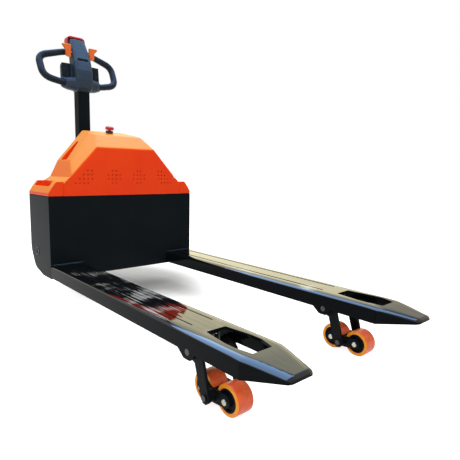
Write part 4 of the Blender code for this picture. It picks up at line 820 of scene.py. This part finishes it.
stop = {
    "place": (0, 0.5004, 0.7434),
    "lean": 0.1734,  # of the push axis from upright, square to the cover's top
    "sides": 48,
    "cap": [  # radius, height along the axis, rounding
        (0.0003, -0.0055, 0), (0.0075, -0.0055, 0.0005), (0.0075, 0.0180, 0.0005),
        (0.0160, 0.0180, 0.0008), (0.0160, 0.0152, 0.0004), (0.0190, 0.0152, 0.0006),
        (0.0190, 0.0268, 0.0030), (0.0130, 0.0305, 0.0040), (0.0003, 0.0308, 0)],
    "base": [
        (0.0085, -0.0115, 0), (0.0148, -0.0115, 0), (0.0148, 0.0012, 0.0003), (0.0172, 0.0012, 0.0006),
        (0.0172, 0.0086, 0.0010), (0.0150, 0.0107, 0.0008), (0.0085, 0.0107, 0.0006)],
}


def makeStop():
    turn = Matrix.Translation(stop["place"]) @ Matrix.Rotation(stop["lean"], 4, "X")
    for name, slot, body, node in (("cap", "signal_red", "stop_button", "stop_button"),
                                   ("base", "black_plastic", "chassis", "stop_base")):
        piece = spun(f"stop.{name}", arcLoop(stop[name]), "Z", Vector(), stop["sides"])
        piece.data.transform(turn)
        seat(piece, slot, body, node)
    print("emergency stop made")


makeStop()


# trim on the box and forks

trim = {
    "holePlace": (0.3425, 0.4896, 0.228),
    "ring": [  # radius, distance out of the plate, rounding
        (0.0112, -0.0045, 0.0004), (0.0135, -0.0045, 0.0004), (0.0135, 0.0001, 0.0002),
        (0.0180, 0.0001, 0.0003), (0.0174, 0.0018, 0.0008), (0.0120, 0.0022, 0.0008)],
    "ringSides": 40,
    "ringSteps": 3,
    "beadRadius": 0.0026,
    "beadPlace": 0.3346,  # where the plate's face meets the fork
    "beadEnd": 0.066,
    "beadSides": 12,
    "beadPitch": 0.0045,  # of the ripples that the welder leaves
    "ripple": 0.14,  # of the radius
    "rippleSteps": 4,  # points along each ripple
    "taper": 0.4,  # of the radius, at the ends
    "runUp": 12,  # the taper takes one in this many parts of the length
}


def makeTrim():
    # a moulded ring lines each tie hole, and a weld bead runs where a fork's top meets the front plate
    x, y, z = trim["holePlace"]
    steps = int(2 * trim["beadEnd"] / trim["beadPitch"]) * trim["rippleSteps"]
    for side, hand in ((-1, "left"), (1, "right")):
        profile = [(radius, side * along, rounding) for radius, along, rounding in trim["ring"]]
        loop = arcLoop(profile, trim["ringSteps"])
        ring = spun(f"tieRing.{hand}", loop, "X", Vector((side * x, y, z)), trim["ringSides"])
        seat(ring, "black_plastic", "chassis")
        path, radii = [], []
        for step in range(steps + 1):
            share = step / steps
            across = side * fork["centre"] + trim["beadEnd"] * (2 * share - 1)
            path.append(Vector((across, trim["beadPlace"], fork["top"])))
            wave = math.sin(2 * math.pi * step / trim["rippleSteps"])
            ripple = 1 - trim["ripple"] * (0.5 - 0.5 * wave)
            risen = min(1.0, trim["runUp"] * share, trim["runUp"] * (1 - share))
            radii.append(trim["beadRadius"] * (1 - trim["taper"] * (1 - risen)) * ripple)
        seat(sweep(f"weldBead.{hand}", path, radii, trim["beadSides"]), "black_paint", "chassis")
    print("tie rings and welds made")


makeTrim()


# tiller head

head = {
    "foot": (0.0, 0.79827, 0.965),  # where the tiller's tube enters
    "grain": 0.0022,  # voxel of the remesh
    "softening": (0.5, 9),  # factor and passes of smoothing
    "pill": (0.0285, 0.0072, 0.0060),  # half length, radius, depth
    "pillEdge": 0.0015,  # chamfer round its floor
    "pillPlace": (0, -0.021, 0.149),  # on the spine's face, from the foot
    "pillSteps": 12,
    "pillStart": -0.05,  # its cutter starts outside the moulding
    "smooth": 42,
    "loop": [  # across, back and up from the foot
        (0.026, 0.038, 0.195), (0.0755, 0.040, 0.188), (0.190, 0.058, 0.156),
        (0.186, 0.004, 0.052), (0.095, -0.006, 0.032), (0.056, -0.004, 0.032)],
    "loopBend": (0.042, 14),  # radius and steps
    "loopRadius": 0.0165,
    "loopSides": 28,
    "swell": (0.0012, 0.09, 0.07),  # the grip gets this much thicker, from this far out, over this width
}


def makeHousing(foot):
    # the moulding flows from spine to saddle to ears, so its solid is remeshed and smoothed as one skin
    housing = copyOf("head_housing", "head.housing")
    skin = housing.modifiers.new("skin", "REMESH")
    skin.mode, skin.voxel_size = "VOXEL", head["grain"]
    soft = housing.modifiers.new("soft", "SMOOTH")
    soft.factor, soft.iterations = head["softening"]
    settled(housing)
    # a recess with round ends
    halfLength, radius, depth = head["pill"]
    edge, steps = head["pillEdge"], head["pillSteps"]
    middle = foot + Vector(head["pillPlace"])
    turns = [(side, math.pi * (step / steps - 0.5)) for side in (-1, 1) for step in range(steps + 1)]
    rings = []
    for along, width in ((head["pillStart"], radius), (depth - edge, radius), (depth, radius - edge)):
        rings.append([middle + Vector((side * (halfLength - radius + width * math.cos(turn)), along,
                                       side * width * math.sin(turn))) for side, turn in turns])
    combined(housing, lofted("pill", rings), "DIFFERENCE")
    seat(evenShading(housing, head["smooth"]), "head_plastic", "tiller", "head_housing")


def makeGrip(foot, side, hand):
    # hand loop; its outer half swells a little, as a palm needs
    route = [foot + Vector((side * across, back, up)) for across, back, up in head["loop"]]
    path = bentPath(route, *head["loopBend"])
    swell, start, width = head["swell"]
    spread = [min(1.0, max(0.0, (abs(point.x) - start) / width)) for point in path]
    radii = [head["loopRadius"] - swell * (1 - share) for share in spread]
    loop = sweep(f"head.grip.{hand}", path, radii, head["loopSides"])
    seat(loop, "grip_rubber", "tiller", f"hand_loop_{hand}")


pad = {
    "inner": 0.0505,  # from the middle, and above the foot
    "low": 0.064,
    "width": 0.045,
    "height": 0.066,
    "rows": 5,
    "columns": 3,
    "border": 0.003,
    "groove": 0.0009,  # half the gap between squares
    "plate": (0.0010, 0.0032, 0.0004),  # front face, back face and front chamfer
    "square": (-0.0010, 0.0012, 0.0006),
    "tilt": -0.10,
    "hinge": 0.05,  # height above the foot that the tilt turns about
}


def addBlock(bm, side, across, up, depth):
    # box with its front edges drawn in
    front, rear, edge = depth
    for vert in bmesh.ops.create_cube(bm, size=1)["verts"]:
        share = vert.co + Vector((0.5, 0.5, 0.5))
        inset = edge if share.y < 0.5 else 0
        u = across[0] + inset + (across[1] - across[0] - 2 * inset) * share.x
        v = up[0] + inset + (up[1] - up[0] - 2 * inset) * share.z
        vert.co = Vector((side * u, front + (rear - front) * share.y, v))


def makePad(foot, side, hand):
    # rubber pad with a grid of raised squares
    inner, low, border, groove = pad["inner"], pad["low"], pad["border"], pad["groove"]
    bm = bmesh.new()
    addBlock(bm, side, (inner, inner + pad["width"]), (low, low + pad["height"]), pad["plate"])
    stepU = (pad["width"] - 2 * border) / pad["columns"]
    stepV = (pad["height"] - 2 * border) / pad["rows"]
    for column in range(pad["columns"]):
        for row in range(pad["rows"]):
            u, v = inner + border + column * stepU, low + border + row * stepV
            addBlock(bm, side, (u + groove, u + stepU - groove), (v + groove, v + stepV - groove),
                     pad["square"])
    hinge = Vector((0, 0, pad["hinge"]))
    tilt = Matrix.Translation(hinge) @ Matrix.Rotation(pad["tilt"], 4, "X") @ Matrix.Translation(-hinge)
    bm.transform(Matrix.Translation(foot) @ tilt)
    seat(toPiece(bm, f"head.pad.{hand}", shaping["crisp"]), "grip_rubber", "tiller", f"side_pad_{hand}")


def makeHead():
    foot = Vector(head["foot"])
    makeHousing(foot)
    for side, hand in ((-1, "left"), (1, "right")):
        makeGrip(foot, side, hand)
        makePad(foot, side, hand)
    print("head, grips and pads made")


makeHead()


# pieces whose solid only needs its edges rounded

edgeFinish = {
    # node: edge width in metres, segments, finish if it isn't the slot's own,
    # long edges if they get more: least length, width, least angle in degrees
    "battery_box": (0.0018, 3, "plate_paint"),
    "corner_cap_left": (0.0012, 2, None, (0.05, 0.0045, 14)),
    "corner_cap_right": (0.0012, 2, None, (0.05, 0.0045, 14)),
    "cover": (0.0009, 2, None, (0.06, 0.0060, 14)),
    "load_arm_left": (0.0026, 3),
    "load_arm_right": (0.0026, 3),
    "bogie_left": (0.0022, 3),
    "bogie_right": (0.0022, 3),
    "push_rod_left": (0.0008, 2),
    "push_rod_right": (0.0008, 2),
    "torsion_shaft": (0.0010, 2),
    "arm_pin_left": (0.0008, 2, "dark_steel"),
    "arm_pin_right": (0.0008, 2, "dark_steel"),
    "drive_frame": (0.0012, 2, "plate_paint"),
    "lift_guides": (0.0012, 2, "plate_paint"),
    "drive_housing": (0.0025, 3),
    "tiller_base": (0.0012, 2, "plate_paint"),
    "tiller_tube": (0.0010, 2, "plate_paint"),
    "controller": (0.0010, 2),
    "hydraulic_unit": (0.0030, 3),
    "battery": (0.0020, 2),
    "throttle": (0.0015, 3),
    "belly_button": (0.0020, 3),
    "motor_cover": (0.0008, 2),
}
for nodeName, settings in edgeFinish.items():
    refined(nodeName, *settings)
print("edges rounded on", len(edgeFinish), "pieces")


# solids that stay as they are take their finish

for nodeName, node in cadNodes.items():
    if not node.hide_render:
        node.data.materials.clear()
        node.data.materials.append(finishes[slotOfNode[nodeName]])
        node.data.shade_smooth()
        node.data.set_sharp_from_angle(angle=math.radians(shaping["smooth"]))
print("carried solids finished")
